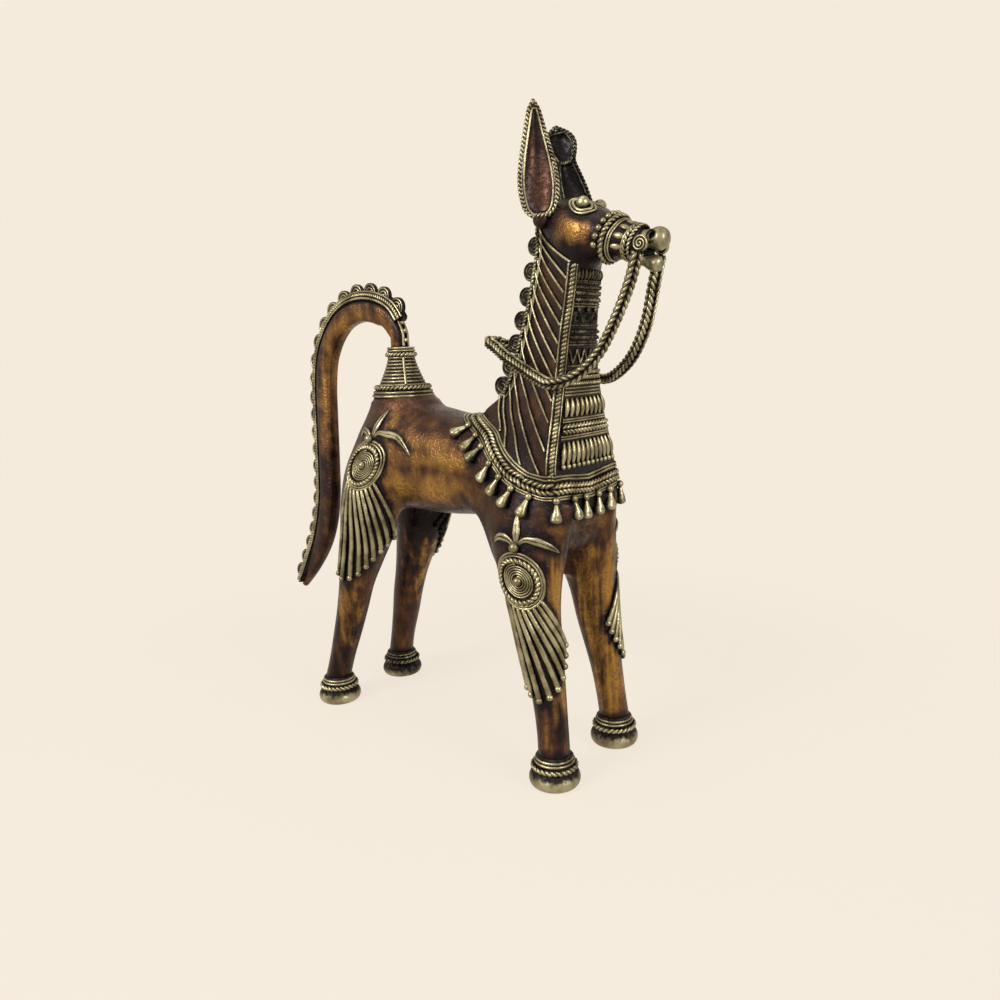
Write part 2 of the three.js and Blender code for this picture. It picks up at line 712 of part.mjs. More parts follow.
// Sprig: three leaves from a bead above the medallion, round the front leg and flat on the flank
function sprig(leg, dress) {
  const foot = dress.height + MEDALLION_RADIUS + RING_WIRE + 2 * GAP + SPRIG_BEAD;
  const [, x, , long] = leg.at(foot);
  const place = (along, rise, lift) =>
    dress.flat
      ? overFlank(leg.side, x + long * Math.sin(dress.turn) + along, foot + rise, lift)
      : overLeg(leg, foot + rise, dress.turn + along / long, lift);
  const leaves = dress.leaves.map((path) => {
    const line = new THREE.CatmullRomCurve3(path.map(([along, rise]) => vec(along, rise, 0)));
    const spot = (t) => {
      const p = line.getPoint(t);
      return { ...place(p.x, p.y), size: 0.35 + 0.65 * Math.sin(Math.PI * mix(0.25, 0.97, t)) };
    };
    return thread(spread(0, 1, 7), spot, ridged(LEAF_WIDTH, LEAF_HEIGHT));
  });
  return join([ball(SPRIG_BEAD, place(0, 0, REST + SPRIG_BEAD).at), ...leaves]);
}

for (const leg of legs) {
  const dress = leg.name.startsWith("front") ? DRESS.front : DRESS.rear;
  piece(`medallion_${leg.name}`, medallion(leg, dress), BRASS);
  piece(`ray_fan_${leg.name}`, fan(leg, dress), BRASS);
  piece(`sprig_${leg.name}`, sprig(leg, dress), BRASS);
}

// Tail: a rounded rod whose outer line carries the crest. The frame's up direction points outwards.
const tailLine = new THREE.CatmullRomCurve3(TAIL_LINE.map((p) => vec(...p)));
function onTail(share) {
  const at = tailLine.getPointAt(share);
  const along = tailLine.getTangentAt(share);
  const up = vec(0, 1, 0).cross(along).normalize();
  return { at, up, side: along.clone().cross(up).normalize() };
}

function tailRod() {
  const rings = spread(0, 1, 24).map((share) => {
    const { at: outer, up, side } = onTail(share);
    const fade = Math.max(0, (share - TAIL_TAPER) / (1 - TAIL_TAPER)) ** 2;
    const full = mix(TAIL_ROOT, 1, THREE.MathUtils.smoothstep(share, ...TAIL_FULL));
    const depth = mix(TAIL_DEPTH * full, TAIL_TIP, fade);
    const width = mix(TAIL_WIDTH * full, TAIL_TIP, fade);
    const middle = outer.addScaledVector(up, -depth / 2);
    return turns(8).map((angle) => {
      const [u, v] = rounded(angle + Math.PI / 8, width / 2, depth / 2, 3);
      const at = middle.clone().addScaledVector(side, u).addScaledVector(up, v);
      return share > 0 ? at : at.setZ(TAIL_LINE[0][2]);
    });
  });
  return solid(skin(rings));
}

// The crest is a low strap that leads into one strip whose top edge rises and falls in scallops.
function tailCrest() {
  const [first, last] = [CREST_START, 0.995];
  const count = Math.round(((last - first) * tailLine.getLength()) / SCALLOP_PITCH);
  const phases = [[0, 0], [0.14, 0.72], [0.5, 1], [0.86, 0.72]]; // share of the pitch, share of the rise
  const stops = range(count).flatMap((i) =>
    phases.map(([along, rise]) => ({ share: (i + along) / count, rise })),
  );
  const ring = (share, foot, edge, top) => {
    const { at, up, side } = onTail(share);
    return [[-foot, GAP], [foot, GAP], [edge, GAP + top], [-edge, GAP + top]].map(([u, v]) =>
      at.clone().addScaledVector(side, u).addScaledVector(up, v),
    );
  };
  const strap = spread(STRAP_START, CREST_START - 0.002, 4).map((share) =>
    ring(share, STRAP_WIDTH / 2, STRAP_WIDTH / 3, STRAP_HEIGHT),
  );
  const strip = [...stops, { share: 1, rise: 0 }].map(({ share, rise }) =>
    ring(mix(first, last, share), CREST_FOOT, CREST_EDGE, CREST_HEIGHT + SCALLOP_RISE * rise),
  );
  return solid(skin([...strap, ...strip]));
}

piece("tail", tailRod(), BRONZE);
piece("tail_crest", tailCrest(), BRASS);

// Tail socket: a ringed bell on the croup, on which the tail stands
const tailFoot = TAIL_LINE[0][2] - GAP;
function tailSocket() {
  const rings = 7;
  const foot = CROUP_TOP + GAP;
  const level = (t) => mix(foot + 7, tailFoot - 5.6, t);
  const flare = (t) => mix(SOCKET_WAIST_RADIUS, SOCKET_TOP_RADIUS, t * (1.35 - 0.35 * t));
  const ribs = range(rings).flatMap((i) => {
    const [low, high] = [i / rings, (i + 0.6) / rings];
    return [[flare(low) + 0.6, level(low)], [flare(high), level(high)]];
  });
  const profile = [
    [0, foot],
    [SOCKET_RADIUS, foot],
    [SOCKET_RADIUS, foot + 3],
    [SOCKET_WAIST_RADIUS + 2, foot + 3.6],
    [SOCKET_WAIST_RADIUS + 2.2, foot + 5.6],
    [SOCKET_WAIST_RADIUS + 0.4, foot + 6.6],
    ...ribs,
    [SOCKET_TOP_RADIUS + 1, tailFoot - 5],
    [SOCKET_TOP_RADIUS + 1, tailFoot - 2.8],
    [SOCKET_TOP_RADIUS + 0.3, tailFoot - 2.2],
    [SOCKET_TOP_RADIUS, tailFoot],
    [0, tailFoot],
  ];
  return turned(profile, 14, vec(CROUP.at(-1)[1], 0, 0), vec(0, 0, 1));
}
piece("tail_socket", tailSocket(), BRASS);

// Ears: a cupped leaf on each side of the poll, with a rope rim round its edge
function earFrame({ foot, tip, facing, shape }) {
  const [root, end] = [vec(...foot), vec(...tip)];
  const [low, high] = facing.map((way) => vec(...way, 0).normalize());
  const rise = end.clone().sub(root).normalize();
  const halfAt = through(shape);
  const greatest = Math.max(...shape.map(([, half]) => half));
  // share goes from foot to tip, u across from edge to edge, and depth backwards
  return (share, u, depth = 0) => {
    const front = low.clone().lerp(high, THREE.MathUtils.smoothstep(share, ...EAR_TWIST)).normalize();
    const side = front.clone().cross(rise).normalize();
    const half = halfAt(share)[1];
    const hollow = ((EAR_CUP * half) / greatest) * (1 - u * u);
    const middle = root.clone().lerp(end, share);
    return middle.addScaledVector(side, half * u).addScaledVector(front, -hollow - depth);
  };
}

function earShell(spot) {
  const across = spread(-1, 1, 5);
  const rings = spread(0, 1, 12).map((share) => [
    ...across.map((u) => spot(share, u, EAR_WALL)),
    ...across.toReversed().map((u) => spot(share, u)),
  ]);
  return solid(skin(rings));
}

function earRim(spot) {
  const edge = (share, u) => {
    const out = spot(share, u).sub(spot(share, 0)).setZ(share > 0.9 ? 3 * share : 0).normalize();
    const at = spot(share, u, EAR_WALL / 2).addScaledVector(out, EAR_RIM + 2.4 * GAP);
    return { at, up: out };
  };
  const shares = spread(0.04, 0.94, 11);
  const crown = spot(1, 0, EAR_WALL / 2).add(vec(0, 0, EAR_RIM + 2.4 * GAP + 0.8));
  const spots = [
    ...shares.map((share) => edge(share, -1)),
    { at: crown, up: vec(0, 0, 1) },
    ...shares.toReversed().map((share) => edge(share, 1)),
  ];
  return thread(spots, (stop) => stop, circle(EAR_RIM, 5), { lift: 0, loose: true });
}

for (const [side, ear] of [["right", RIGHT_EAR], ["left", LEFT_EAR]]) {
  const spot = earFrame(ear);
  const rim = earRim(spot).subtract(seat);
  piece(`ear_${side}`, earShell(spot).subtract(seat), BRONZE);
  piece(`ear_rim_${side}`, rim, BRASS);
}

// Eyes: a ball in a raised socket
for (const [side, way] of [["right", -1], ["left", 1]]) {
  const { at, up } = onHead(EYE_X, way * EYE_TURN);
  const profile = [
    [0, -SINK], [EYE_RADIUS, -SINK], [EYE_RADIUS, 1.2], [EYE_RADIUS - 0.9, 1.7],
    [EYE_RADIUS - 1.3, 1.5], [EYE_RADIUS * 0.55, 3], [0, 3.6],
  ];
  ornament(`eye_${side}`, turned(profile, 10, at, up));
}

// Bridle round the muzzle: a string of beads, a rope, then petals that run into a ring
const onBand = (x, turn) => onHead(x + BAND_TILT * headAt(x)[2] * Math.cos(turn), turn);
const band = (x, section) =>
  thread(turns(16), (turn) => onBand(x, turn), section, { endless: true });
function nosebandBeads() {
  const spot = (i) => ({ ...onBand(BEADS_X, (Math.PI * i) / BEADS), size: i % 2 ? 1 : 0.6 });
  return thread(range(2 * BEADS), spot, laid(BEAD_SIZE, BEAD_SIZE * 0.8), { endless: true });
}
function muzzleRing() {
  const petals = spread(-PETAL_SPAN, PETAL_SPAN, PETALS).map((turn) => {
    const spot = ([t, size]) => ({ ...onBand(mix(PETAL_X, RING_X, t), turn), size });
    return thread([[0, 0.4], [0.4, 1], [1, 0.6]], spot, laid(PETAL_WIDTH, PETAL_HEIGHT));
  });
  return join([band(RING_X, laid(RING_WIDTH, RING_HEIGHT)), ...petals]);
}
piece("noseband_beads", nosebandBeads(), BRASS);
piece("noseband_rope", band(NOSEBAND_X, laid(NOSEBAND_WIDTH, NOSEBAND_HEIGHT)), BRASS);
piece("muzzle_ring", muzzleRing(), BRASS);

// Nose, lower lip and bit rosettes
const [headEnd, headEndHeight] = HEAD.at(-1);
function nose() {
  const foot = vec(headEnd + GAP, 0, headEndHeight + NOSE_RISE);
  const profile = [
    [0, 0], [NOSE_RADIUS * 0.88, 0], [NOSE_RADIUS * 0.86, NOSE_LENGTH * 0.32], [NOSE_RADIUS, NOSE_LENGTH * 0.58],
    [NOSE_RADIUS * 0.86, NOSE_LENGTH * 0.82], [NOSE_RADIUS * 0.5, NOSE_LENGTH * 0.96], [0, NOSE_LENGTH],
  ];
  const nostrils = [-1, 1].map((way) => {
    const inward = way * (NOSE_RADIUS - NOSTRIL_DEPTH);
    const bottom = foot.clone().add(vec(NOSE_LENGTH * 0.5, inward, NOSE_RADIUS * 0.25));
    const drill = [[0, 0], [NOSTRIL_RADIUS, 0], [NOSTRIL_RADIUS, NOSE_RADIUS], [0, NOSE_RADIUS]];
    return turned(drill, 8, bottom, vec(0, way, 0));
  });
  return turned(profile, 14, foot, vec(1, 0, 0)).subtract(join(nostrils));
}
function lowerLip() {
  const profile = [
    [0, 0], [LIP_RADIUS * 0.8, 0], [LIP_RADIUS, LIP_LENGTH * 0.5],
    [LIP_RADIUS * 0.8, LIP_LENGTH * 0.85], [0, LIP_LENGTH],
  ];
  const foot = vec(headEnd - SINK, 0, headEndHeight - LIP_DROP);
  return turned(profile, 10, foot, vec(Math.cos(LIP_TILT), 0, -Math.sin(LIP_TILT)));
}
piece("nose", nose(), BRASS);
ornament("lower_lip", lowerLip());
for (const [side, way] of [["right", -1], ["left", 1]]) {
  const stud = ROSETTE_OUT - NOSE_RADIUS * 0.86 - GAP;
  const profile = [
    [0, 0], [ROSETTE_STUD, 0], [ROSETTE_STUD, stud], [ROSETTE_RADIUS, stud],
    [ROSETTE_RADIUS, stud + ROSETTE_HEIGHT * 0.6], [ROSETTE_RADIUS * 0.7, stud + ROSETTE_HEIGHT],
    [ROSETTE_RADIUS * 0.4, stud + ROSETTE_HEIGHT * 0.6], [0, stud + ROSETTE_HEIGHT],
  ];
  const foot = vec(ROSETTE_X, way * (ROSETTE_OUT - stud), ROSETTE_Z);
  piece(`bit_rosette_${side}`, turned(profile, 10, foot, vec(0, way, 0)), BRASS);
}

// Reins: one braided cord from bit to bit, round behind the mane
const halfRein = REIN_LINE.slice(0, -1);
const reinLine = new THREE.CatmullRomCurve3([
  ...halfRein.map(([x, y, z]) => vec(x, -y, z)),
  vec(...REIN_LINE.at(-1)),
  ...halfRein.toReversed().map((p) => vec(...p)),
]);
function reins() {
  const spot = (t) => {
    const at = reinLine.getPointAt(t);
    const along = reinLine.getTangentAt(t);
    const side = along.clone().cross(vec(0, 0, 1).addScaledVector(vec(1, 0, 0), 0.3)).normalize();
    return { at, up: side.cross(along).normalize() };
  };
  return thread(spread(0, 1, 44), spot, circle(REIN_RADIUS, 6), { lift: 0, loose: true });
}
piece("reins", reins(), BRASS);

// Mane: a cord down each edge of the ridge and spiral scrolls in a row on its back
const ridgeLine = new THREE.CatmullRomCurve3(
  spread(NECK_TOP, NECK_TOP - MANE_RUN, 9).map((height) => vec(neckAt(height)[1], 0, height)),
);
for (const [side, way] of [["right", -1], ["left", 1]]) {
  const spot = (height) => overNeck(way, height, MANE_SHARE);
  const section = laid(MANE_CORD_WIDTH, CORD_HEIGHT);
  const heights = spread(NECK_TOP, NECK_TOP - MANE_RUN, 10);
  const cord = thread(heights, spot, section, { lift: REST + GAP });
  ornament(`mane_cord_${side}`, cord);
}
spread(0.04, 0.93, SCROLLS).forEach((share, i) => {
  const at = ridgeLine.getPointAt(share);
  const back = vec(0, 1, 0).cross(ridgeLine.getTangentAt(share)).normalize();
  const middle = at.addScaledVector(back, SCROLL_RADIUS * 0.62);
  const profile = [[0, 0], [SCROLL_RADIUS, 0], [SCROLL_RADIUS, SCROLL_THICKNESS], [0, SCROLL_THICKNESS]];
  const disc = turned(profile, 10, middle.setY(-SCROLL_THICKNESS / 2), vec(0, 1, 0));
  ornament(`mane_scroll_${i + 1}`, disc);
});

// Sides of the neck: slanting threads that branch from a line beside the mane
function neckThreads(way) {
  const wire = ridged(THREAD_WIDTH, THREAD_HEIGHT);
  const [ridgeTop, cornerTop] = [NECK_TOP - RIDGE_START, NECK_TOP - CORNER_START];
  const heights = spread(ridgeTop + STEM_MARGIN, ridgeTop - RIDGE_RUN - STEM_MARGIN, 8);
  const stem = thread(heights, (height) => overNeck(way, height, RIDGE_SHARE), wire);
  const slants = range(SIDE_THREADS).map((i) => {
    const share = i / (SIDE_THREADS - 1);
    const [top, foot] = [ridgeTop - RIDGE_RUN * share, cornerTop - CORNER_RUN * share];
    const spot = (t) => overNeck(way, mix(top, foot, t ** 0.85), mix(RIDGE_SHARE, CORNER_SHARE, t));
    return thread(spread(0, 1, 4), spot, wire);
  });
  return join([stem, ...slants]);
}
for (const [side, way] of [["right", -1], ["left", 1]]) {
  ornament(`neck_threads_${side}`, neckThreads(way));
  // a rope down the corner between side and breast, drawn deep and trimmed to the edge
  const spot = (height) => {
    const up = onNeckSide(way, height, 1).up.add(vec(1, 0, 0)).normalize();
    return { at: onBreast(height, way).at, up };
  };
  const section = laid(CORD_WIDTH, CORD_HEIGHT + SINK);
  const top = NECK_TOP - CORNER_CORD_START;
  const cord = thread(spread(top, top - CORNER_CORD_RUN, 8), spot, section, { lift: -SINK, loose: true });
  ornament(`corner_cord_${side}`, cord);
}

// Breast: rows of ropes, rings, a zigzag, rods and a braid between the corner cords.
// Ropes lie one above the other and rods side by side, each row one ribbed strip. The rows are made in order
// from the throat down, so each starts below the one before.
let rowAbove = NECK_TOP;
function nextRow(gap, length) {
  const top = rowAbove - gap;
  rowAbove = top - length;
  return [top, rowAbove];
}
const ribs = (count, from, to) =>
  range(count).flatMap((i) =>
    [[0.2, 1], [0.8, 1], [1, 0.2]].map(([along, rise]) => [mix(from, to, (i + along) / count), rise]),
  );
function ropes({ gap, pitch, count, depth }) {
  const [top, foot] = nextRow(gap, pitch * count);
  const rings = spread(-BREAST_SHARE, BREAST_SHARE, 5).map((share) => [
    onBreast(foot, share, REST).at,
    onBreast(top, share, REST).at,
    ...ribs(count, top, foot).map(([height, rise]) => onBreast(height, share, REST + depth * rise).at),
  ]);
  return solid(skin(rings));
}
function rods({ gap, length, count, depth }) {
  const rings = nextRow(gap, length).map((height) => [
    ...spread(BREAST_SHARE, -BREAST_SHARE, 5).map((share) => onBreast(height, share, REST).at),
    ...ribs(count, -BREAST_SHARE, BREAST_SHARE).map(
      ([share, rise]) => onBreast(height, share, REST + depth * rise).at,
    ),
  ]);
  return solid(skin(rings));
}
const breastLine = (height, width, depth) =>
  thread(spread(-BREAST_SHARE, BREAST_SHARE, 5), (share) => onBreast(height, share), laid(width, depth));
function breastRings() {
  const [, foot] = nextRow(RING_GAP, 2 * RING_SIZE);
  const rings = spread(-0.55, 0.55, BREAST_RINGS).map((share) => {
    const { at, up } = onBreast(foot + RING_SIZE, share, REST);
    const profile = [
      [0, 0], [RING_SIZE, 0], [RING_SIZE, 0.9], [RING_SIZE * 0.75, 1.3], [RING_SIZE * 0.4, 0.6], [0, 1.1],
    ];
    return turned(profile, 8, at, up);
  });
  return join([breastLine(foot, THREAD_WIDTH, THREAD_HEIGHT), ...rings]);
}
function breastZigzag() {
  const [top, foot] = nextRow(ZIGZAG_GAP, ZIGZAG_LENGTH);
  const corners = range(ZIGZAGS * 2 + 1).map((i) => ({
    share: mix(-BREAST_SHARE, BREAST_SHARE, i / (ZIGZAGS * 2)),
    height: i % 2 ? foot : top,
  }));
  return thread(corners, ({ share, height }) => onBreast(height, share), laid(ZIGZAG_WIDTH, THREAD_HEIGHT));
}
piece("breast_fringe", rods(BREAST_FRINGE), BRASS);
piece("breast_ropes_upper", ropes(ROPES_UPPER), BRASS);
piece("breast_rings", breastRings(), BRASS);
piece("breast_ropes_middle", ropes(ROPES_MIDDLE), BRASS);
piece("breast_zigzag", breastZigzag(), BRASS);
piece("breast_ropes_lower", ropes(ROPES_LOWER), BRASS);
piece("breast_rods_upper", rods(RODS_UPPER), BRASS);
piece("breast_braid", ropes(BREAST_BRAID), BRASS);
piece("breast_rods_lower", rods(RODS_LOWER), BRASS);

// Collar: a braid between two border threads round the foot of the neck, with pendants below.
// Its route is drawn in space and draped along lines of sight out of the chest.
const chest = vec(...CHEST);
const [ridgeToCorner, corner, middle] = [COLLAR_LINE.slice(0, -1), COLLAR_LINE.at(-2), COLLAR_LINE.at(-1)];
const collarSide = new THREE.CatmullRomCurve3(ridgeToCorner.map((p) => vec(...p)));
const mirrored = (p) => p.clone().setY(-p.y);
function collarRoute(sideStops, frontStops) {
  const side = sideStops.map((t) => collarSide.getPointAt(t));
  const front = frontStops.map((t) => vec(...corner).lerp(vec(...middle), t));
  const left = [...side, ...front];
  return [...left.map(mirrored), ...left.slice(1, -1).toReversed()];
}
function collarSpots(route, offset) {
  const count = route.length;
  const hits = route.map((at, i) => {
    const along = route[(i + 1) % count].clone().sub(route[(i + count - 1) % count]).normalize();
    const down = along.cross(at.clone().sub(chest)).normalize();
    return exit(chest, at.clone().addScaledVector(down, offset).sub(chest));
  });
  return hits.map(({ point }, i) => {
    const around = [i + count - 1, i, i + 1].map((k) => hits[k % count].face.normal);
    return { at: point, up: around.reduce((sum, normal) => sum.add(normal), vec(0, 0, 0)).normalize() };
  });
}
// the stops crowd at the corner of the breast, so that no chord cuts it
const threadRoute = collarRoute([...spread(0, 0.94, 13), 0.98, 1], [0.06, 0.2, 0.5, 1]);
const pendantRoute = collarRoute(
  [0, ...spread(PENDANT_START, 1, SIDE_PENDANTS)],
  [...range(FRONT_PENDANTS / 2).map((i) => (2 * (i + 1)) / (FRONT_PENDANTS + 1)), 1],
);
const collarThread = (offset, section) =>
  thread(collarSpots(threadRoute, offset), (spot) => spot, section, { endless: true });
const borderOffset = COLLAR_WIDTH / 2 + GAP + BORDER_WIDTH / 2;
const border = ridged(BORDER_WIDTH, BORDER_HEIGHT);
ornament("collar_braid", collarThread(0, laid(COLLAR_WIDTH, COLLAR_HEIGHT)));
ornament("collar_border", collarThread(-borderOffset, border));

// A pendant is a ball and a drop in one turned piece, hung from the lower border. None hangs on the centre line.
function pendants() {
  const [tops, tips] = [HANG, HANG + 2 * PENDANT_BALL + PENDANT_LENGTH].map((drop) =>
    collarSpots(pendantRoute, borderOffset + drop).filter((_, i) => Math.abs(pendantRoute[i].y) > 0),
  );
  const profile = [
    [0, 0], [PENDANT_NECK, 0], [PENDANT_BALL, PENDANT_BALL], [PENDANT_NECK, PENDANT_BALL * 2],
    [PENDANT_RADIUS, PENDANT_BALL * 2 + PENDANT_LENGTH * 0.65], [0, PENDANT_BALL * 2 + PENDANT_LENGTH],
  ];
  const drops = tops.map((top, i) => {
    const from = top.at.addScaledVector(top.up, REST + BORDER_HEIGHT * 0.8);
    const tip = tips[i].at.addScaledVector(tips[i].up, PENDANT_LIFT + PENDANT_RADIUS);
    return turned(profile, 5, from, tip.sub(from).normalize());
  });
  return join([collarThread(borderOffset, border), ...drops]);
}
ornament("collar_pendants", pendants());

export default horse;
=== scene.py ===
# %% [markdown]
# # A lost-wax brass horse
# The real figure starts as a clay core. Its maker covers the core with wax, lays wax threads, ropes and
# beads on it one by one, packs it in clay, melts the wax out and pours brass in. This script keeps to the
# same idea: one smooth skin, and pieces that are laid on it. The packed model is loaded first, because its
# nodes say where each piece belongs. Sizes are in millimetres.

import json

import bpy
import numpy as np
from mathutils import Matrix

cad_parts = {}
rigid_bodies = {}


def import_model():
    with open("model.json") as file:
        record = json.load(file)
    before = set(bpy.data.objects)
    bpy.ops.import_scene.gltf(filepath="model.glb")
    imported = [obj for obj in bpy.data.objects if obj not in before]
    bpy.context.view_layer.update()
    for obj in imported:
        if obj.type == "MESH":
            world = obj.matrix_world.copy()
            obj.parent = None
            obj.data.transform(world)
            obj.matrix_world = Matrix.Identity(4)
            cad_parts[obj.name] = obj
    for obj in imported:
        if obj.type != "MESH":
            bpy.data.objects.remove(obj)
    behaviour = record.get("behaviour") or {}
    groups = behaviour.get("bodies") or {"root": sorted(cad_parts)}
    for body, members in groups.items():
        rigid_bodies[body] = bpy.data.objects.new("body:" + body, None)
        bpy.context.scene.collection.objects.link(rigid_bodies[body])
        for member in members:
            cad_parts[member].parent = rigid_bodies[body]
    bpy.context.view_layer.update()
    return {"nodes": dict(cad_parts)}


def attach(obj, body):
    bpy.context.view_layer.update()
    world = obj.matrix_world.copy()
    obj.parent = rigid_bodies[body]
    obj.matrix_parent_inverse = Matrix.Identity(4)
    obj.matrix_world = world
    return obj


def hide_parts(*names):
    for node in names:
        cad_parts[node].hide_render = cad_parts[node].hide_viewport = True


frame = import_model()

# %% [markdown]
# ## Camera
# The camera stands where the photograph was taken from: low, in front of the horse's right shoulder. Its
# axes are worked out from a bearing, a climb and a small roll, and written as the columns of a matrix.

# %% Camera
MM = 0.001
CAMERA_PLACE = np.array([291.33, -303.76, 200.52])
BEARING, CLIMB, ROLL = np.radians([40.456, 10.541, -2.0])
SENSOR_WIDTH = 36.0
FOCAL_SHARE = 0.80348  # focal length over the width of the sensor


def put(made, across, back, place):
    """Links an object to the scene. Its axes across, up and back and its place are columns of a matrix."""
    bpy.context.scene.collection.objects.link(made)
    pose = np.eye(4)
    pose[:3] = np.column_stack([across, np.cross(back, across), back, place])
    made.matrix_world = Matrix(pose.tolist())


level = np.array([np.cos(BEARING), np.sin(BEARING), 0.0])
backward = np.array([np.sin(BEARING) * np.cos(CLIMB), -np.cos(BEARING) * np.cos(CLIMB), np.sin(CLIMB)])
lens = bpy.data.cameras.new("studio_camera")
lens.sensor_width, lens.lens = SENSOR_WIDTH, FOCAL_SHARE * SENSOR_WIDTH
lens.clip_start, lens.clip_end = 0.01, 20.0
camera = bpy.data.objects.new("studio_camera", lens)
put(camera, np.cos(ROLL) * level + np.sin(ROLL) * np.cross(backward, level), backward, CAMERA_PLACE * MM)
bpy.context.scene.camera = camera
print("camera lens", round(lens.lens, 2), "mm")

# %% [markdown]
# ## Shader sums as Python sums
# A finish mixes masks, and masks are sums and products. A small class wraps a socket, so that `1 - mask` or
# `grain * 0.4` adds the Math node for it. Every other node comes from one method, which sets the node's
# choices first and then fills or links its sockets.

# %% Sums of sockets
class Value:
    """One output in a finish's node tree. Arithmetic on it adds a Math node."""

    def __init__(self, finish, socket):
        self.finish, self.socket = finish, socket

    def _math(self, operation, first, second):
        return self.finish.node("ShaderNodeMath", {"operation": operation}, {0: first, 1: second})

    def __add__(self, other):
        return self._math("ADD", self, other)

    def __sub__(self, other):
        return self._math("SUBTRACT", self, other)

    def __rsub__(self, other):
        return self._math("SUBTRACT", other, self)

    def __mul__(self, other):
        return self._math("MULTIPLY", self, other)

    __radd__, __rmul__ = __add__, __mul__


print("sums:", [name for name in vars(Value) if name.endswith(("add__", "sub__", "mul__"))])

# %% Finishes
class Finish:
    """The node tree of a material or of the world."""

    def __init__(self, owner):
        owner.use_nodes = True
        self.owner, self.tree = owner, owner.node_tree
        self.shader = self.tree.nodes.get("Principled BSDF")

    def node(self, kind, settings=None, inputs=None, output=0):
        """Adds a node: its settings first, then its inputs by name or number. Returns one of its outputs."""
        made = self.tree.nodes.new(kind)
        for key, value in (settings or {}).items():
            setattr(made, key, value)
        for key, value in (inputs or {}).items():
            self.fill(made.inputs[key], value)
        return Value(self, made.outputs[output])

    def fill(self, socket, value):
        """Links a Value to a socket, or writes a plain number or colour on it."""
        if isinstance(value, Value):
            self.tree.links.new(value.socket, socket)
        else:
            socket.default_value = value

    def mix(self, mask, low, high):
        """The colour low where the mask is 0 and high where it is 1."""
        return self.node("ShaderNodeMix", {"data_type": "RGBA"}, {0: mask, 6: low, 7: high}, 2)

    def step(self, value, start, end):
        """0 up to start, 1 from end on, and a smooth ramp between them."""
        ramp = {"Value": value, "From Min": start, "From Max": end}
        return self.node("ShaderNodeMapRange", {"interpolation_type": "SMOOTHSTEP"}, ramp)

    def noise(self, scale, detail, stretch=(1, 1, 1)):
        """Cloudy grain in Object coordinates, so many periods to the metre. A small stretch draws it out."""
        place = self.node("ShaderNodeTexCoord", output="Object")
        place = self.node("ShaderNodeMapping", None, {"Vector": place, "Scale": stretch})
        grain = {"Vector": place, "Scale": scale, "Detail": detail}
        return self.node("ShaderNodeTexNoise", None, grain, "Fac")

    def bump(self, height, strength, depth):
        """A normal that a height field tilts, as if it were so many metres deep."""
        return self.node("ShaderNodeBump", None, {"Strength": strength, "Distance": depth, "Height": height})

    def painted(self, name):
        """A number that was painted on the mesh's points."""
        return self.node("ShaderNodeAttribute", {"attribute_name": name}, output="Fac")

    def surface(self, **inputs):
        """Fills the shader's own sockets: an underscore in a name stands for a space."""
        for key, value in inputs.items():
            self.fill(self.shader.inputs[key.replace("_", " ")], value)

    def ends_in(self, output, share, low, high):
        """Sends a mix of two shaders to an output node."""
        mixed = self.node("ShaderNodeMixShader", None, {0: share, 1: low, 2: high})
        self.fill(self.tree.nodes[output].inputs["Surface"], mixed)


def colour(red, green, blue):
    """A colour given as on a screen, from 0 to 255, as the light it stands for."""
    share = np.array([red, green, blue]) / 255
    light = np.where(share < 0.04045, share / 12.92, ((share + 0.055) / 1.055) ** 2.4)
    return (*light.tolist(), 1.0)


print("mid grey as light:", round(colour(128, 128, 128)[0], 3))

# %% [markdown]
# ## Studio
# The picture has a flat cream ground. The world and the floor show that cream to the camera and to
# reflections, and the floor lets a little of its own shading through near the hooves, so the horse still
# casts a shadow. Large soft lamps light the metal from above and from two sides, as a light tent does.

# %% World
CREAM = colour(245, 235, 220)
SKY, SKY_STRENGTH = (0.92, 0.95, 1.0, 1.0), 0.55


def looked_at(finish):
    """1 for what the camera sees, straight or in a reflection, and 0 for light that falls on the horse."""
    straight = finish.node("ShaderNodeLightPath", output="Is Camera Ray")
    return straight + finish.node("ShaderNodeLightPath", output="Is Glossy Ray")


sky = Finish(bpy.data.worlds.new("studio_world"))
bpy.context.scene.world = sky.owner
dim, tent = (sky.node("ShaderNodeBackground", None, {"Color": tint, "Strength": power})
             for tint, power in ((SKY, SKY_STRENGTH), (CREAM, 1.0)))
sky.ends_in("World Output", share=looked_at(sky), low=dim, high=tent)
print("world ready with", len(sky.tree.nodes), "nodes")

# %% Floor
FLOOR_REACH = 4.0  # metres
SHADOW_SHARE, SHADOW_ENDS = 0.12, (0.15, 0.4)  # how much shading shows, and where in metres it fades out
ground = Finish(bpy.data.materials.new("floor_cream"))
ground.surface(Base_Color=colour(206, 197, 184), Roughness=0.9)
away = ground.node("ShaderNodeTexCoord", output="Object")
away = ground.node("ShaderNodeVectorMath", {"operation": "LENGTH"}, {0: away}, "Value")
glow = ground.node("ShaderNodeEmission", None, {"Color": CREAM, "Strength": 1.0})
flat_share = 1 - SHADOW_SHARE + SHADOW_SHARE * ground.step(away, *SHADOW_ENDS)
shaded = Value(ground, ground.shader.outputs[0])
ground.ends_in("Material Output", share=looked_at(ground) * flat_share, low=shaded, high=glow)

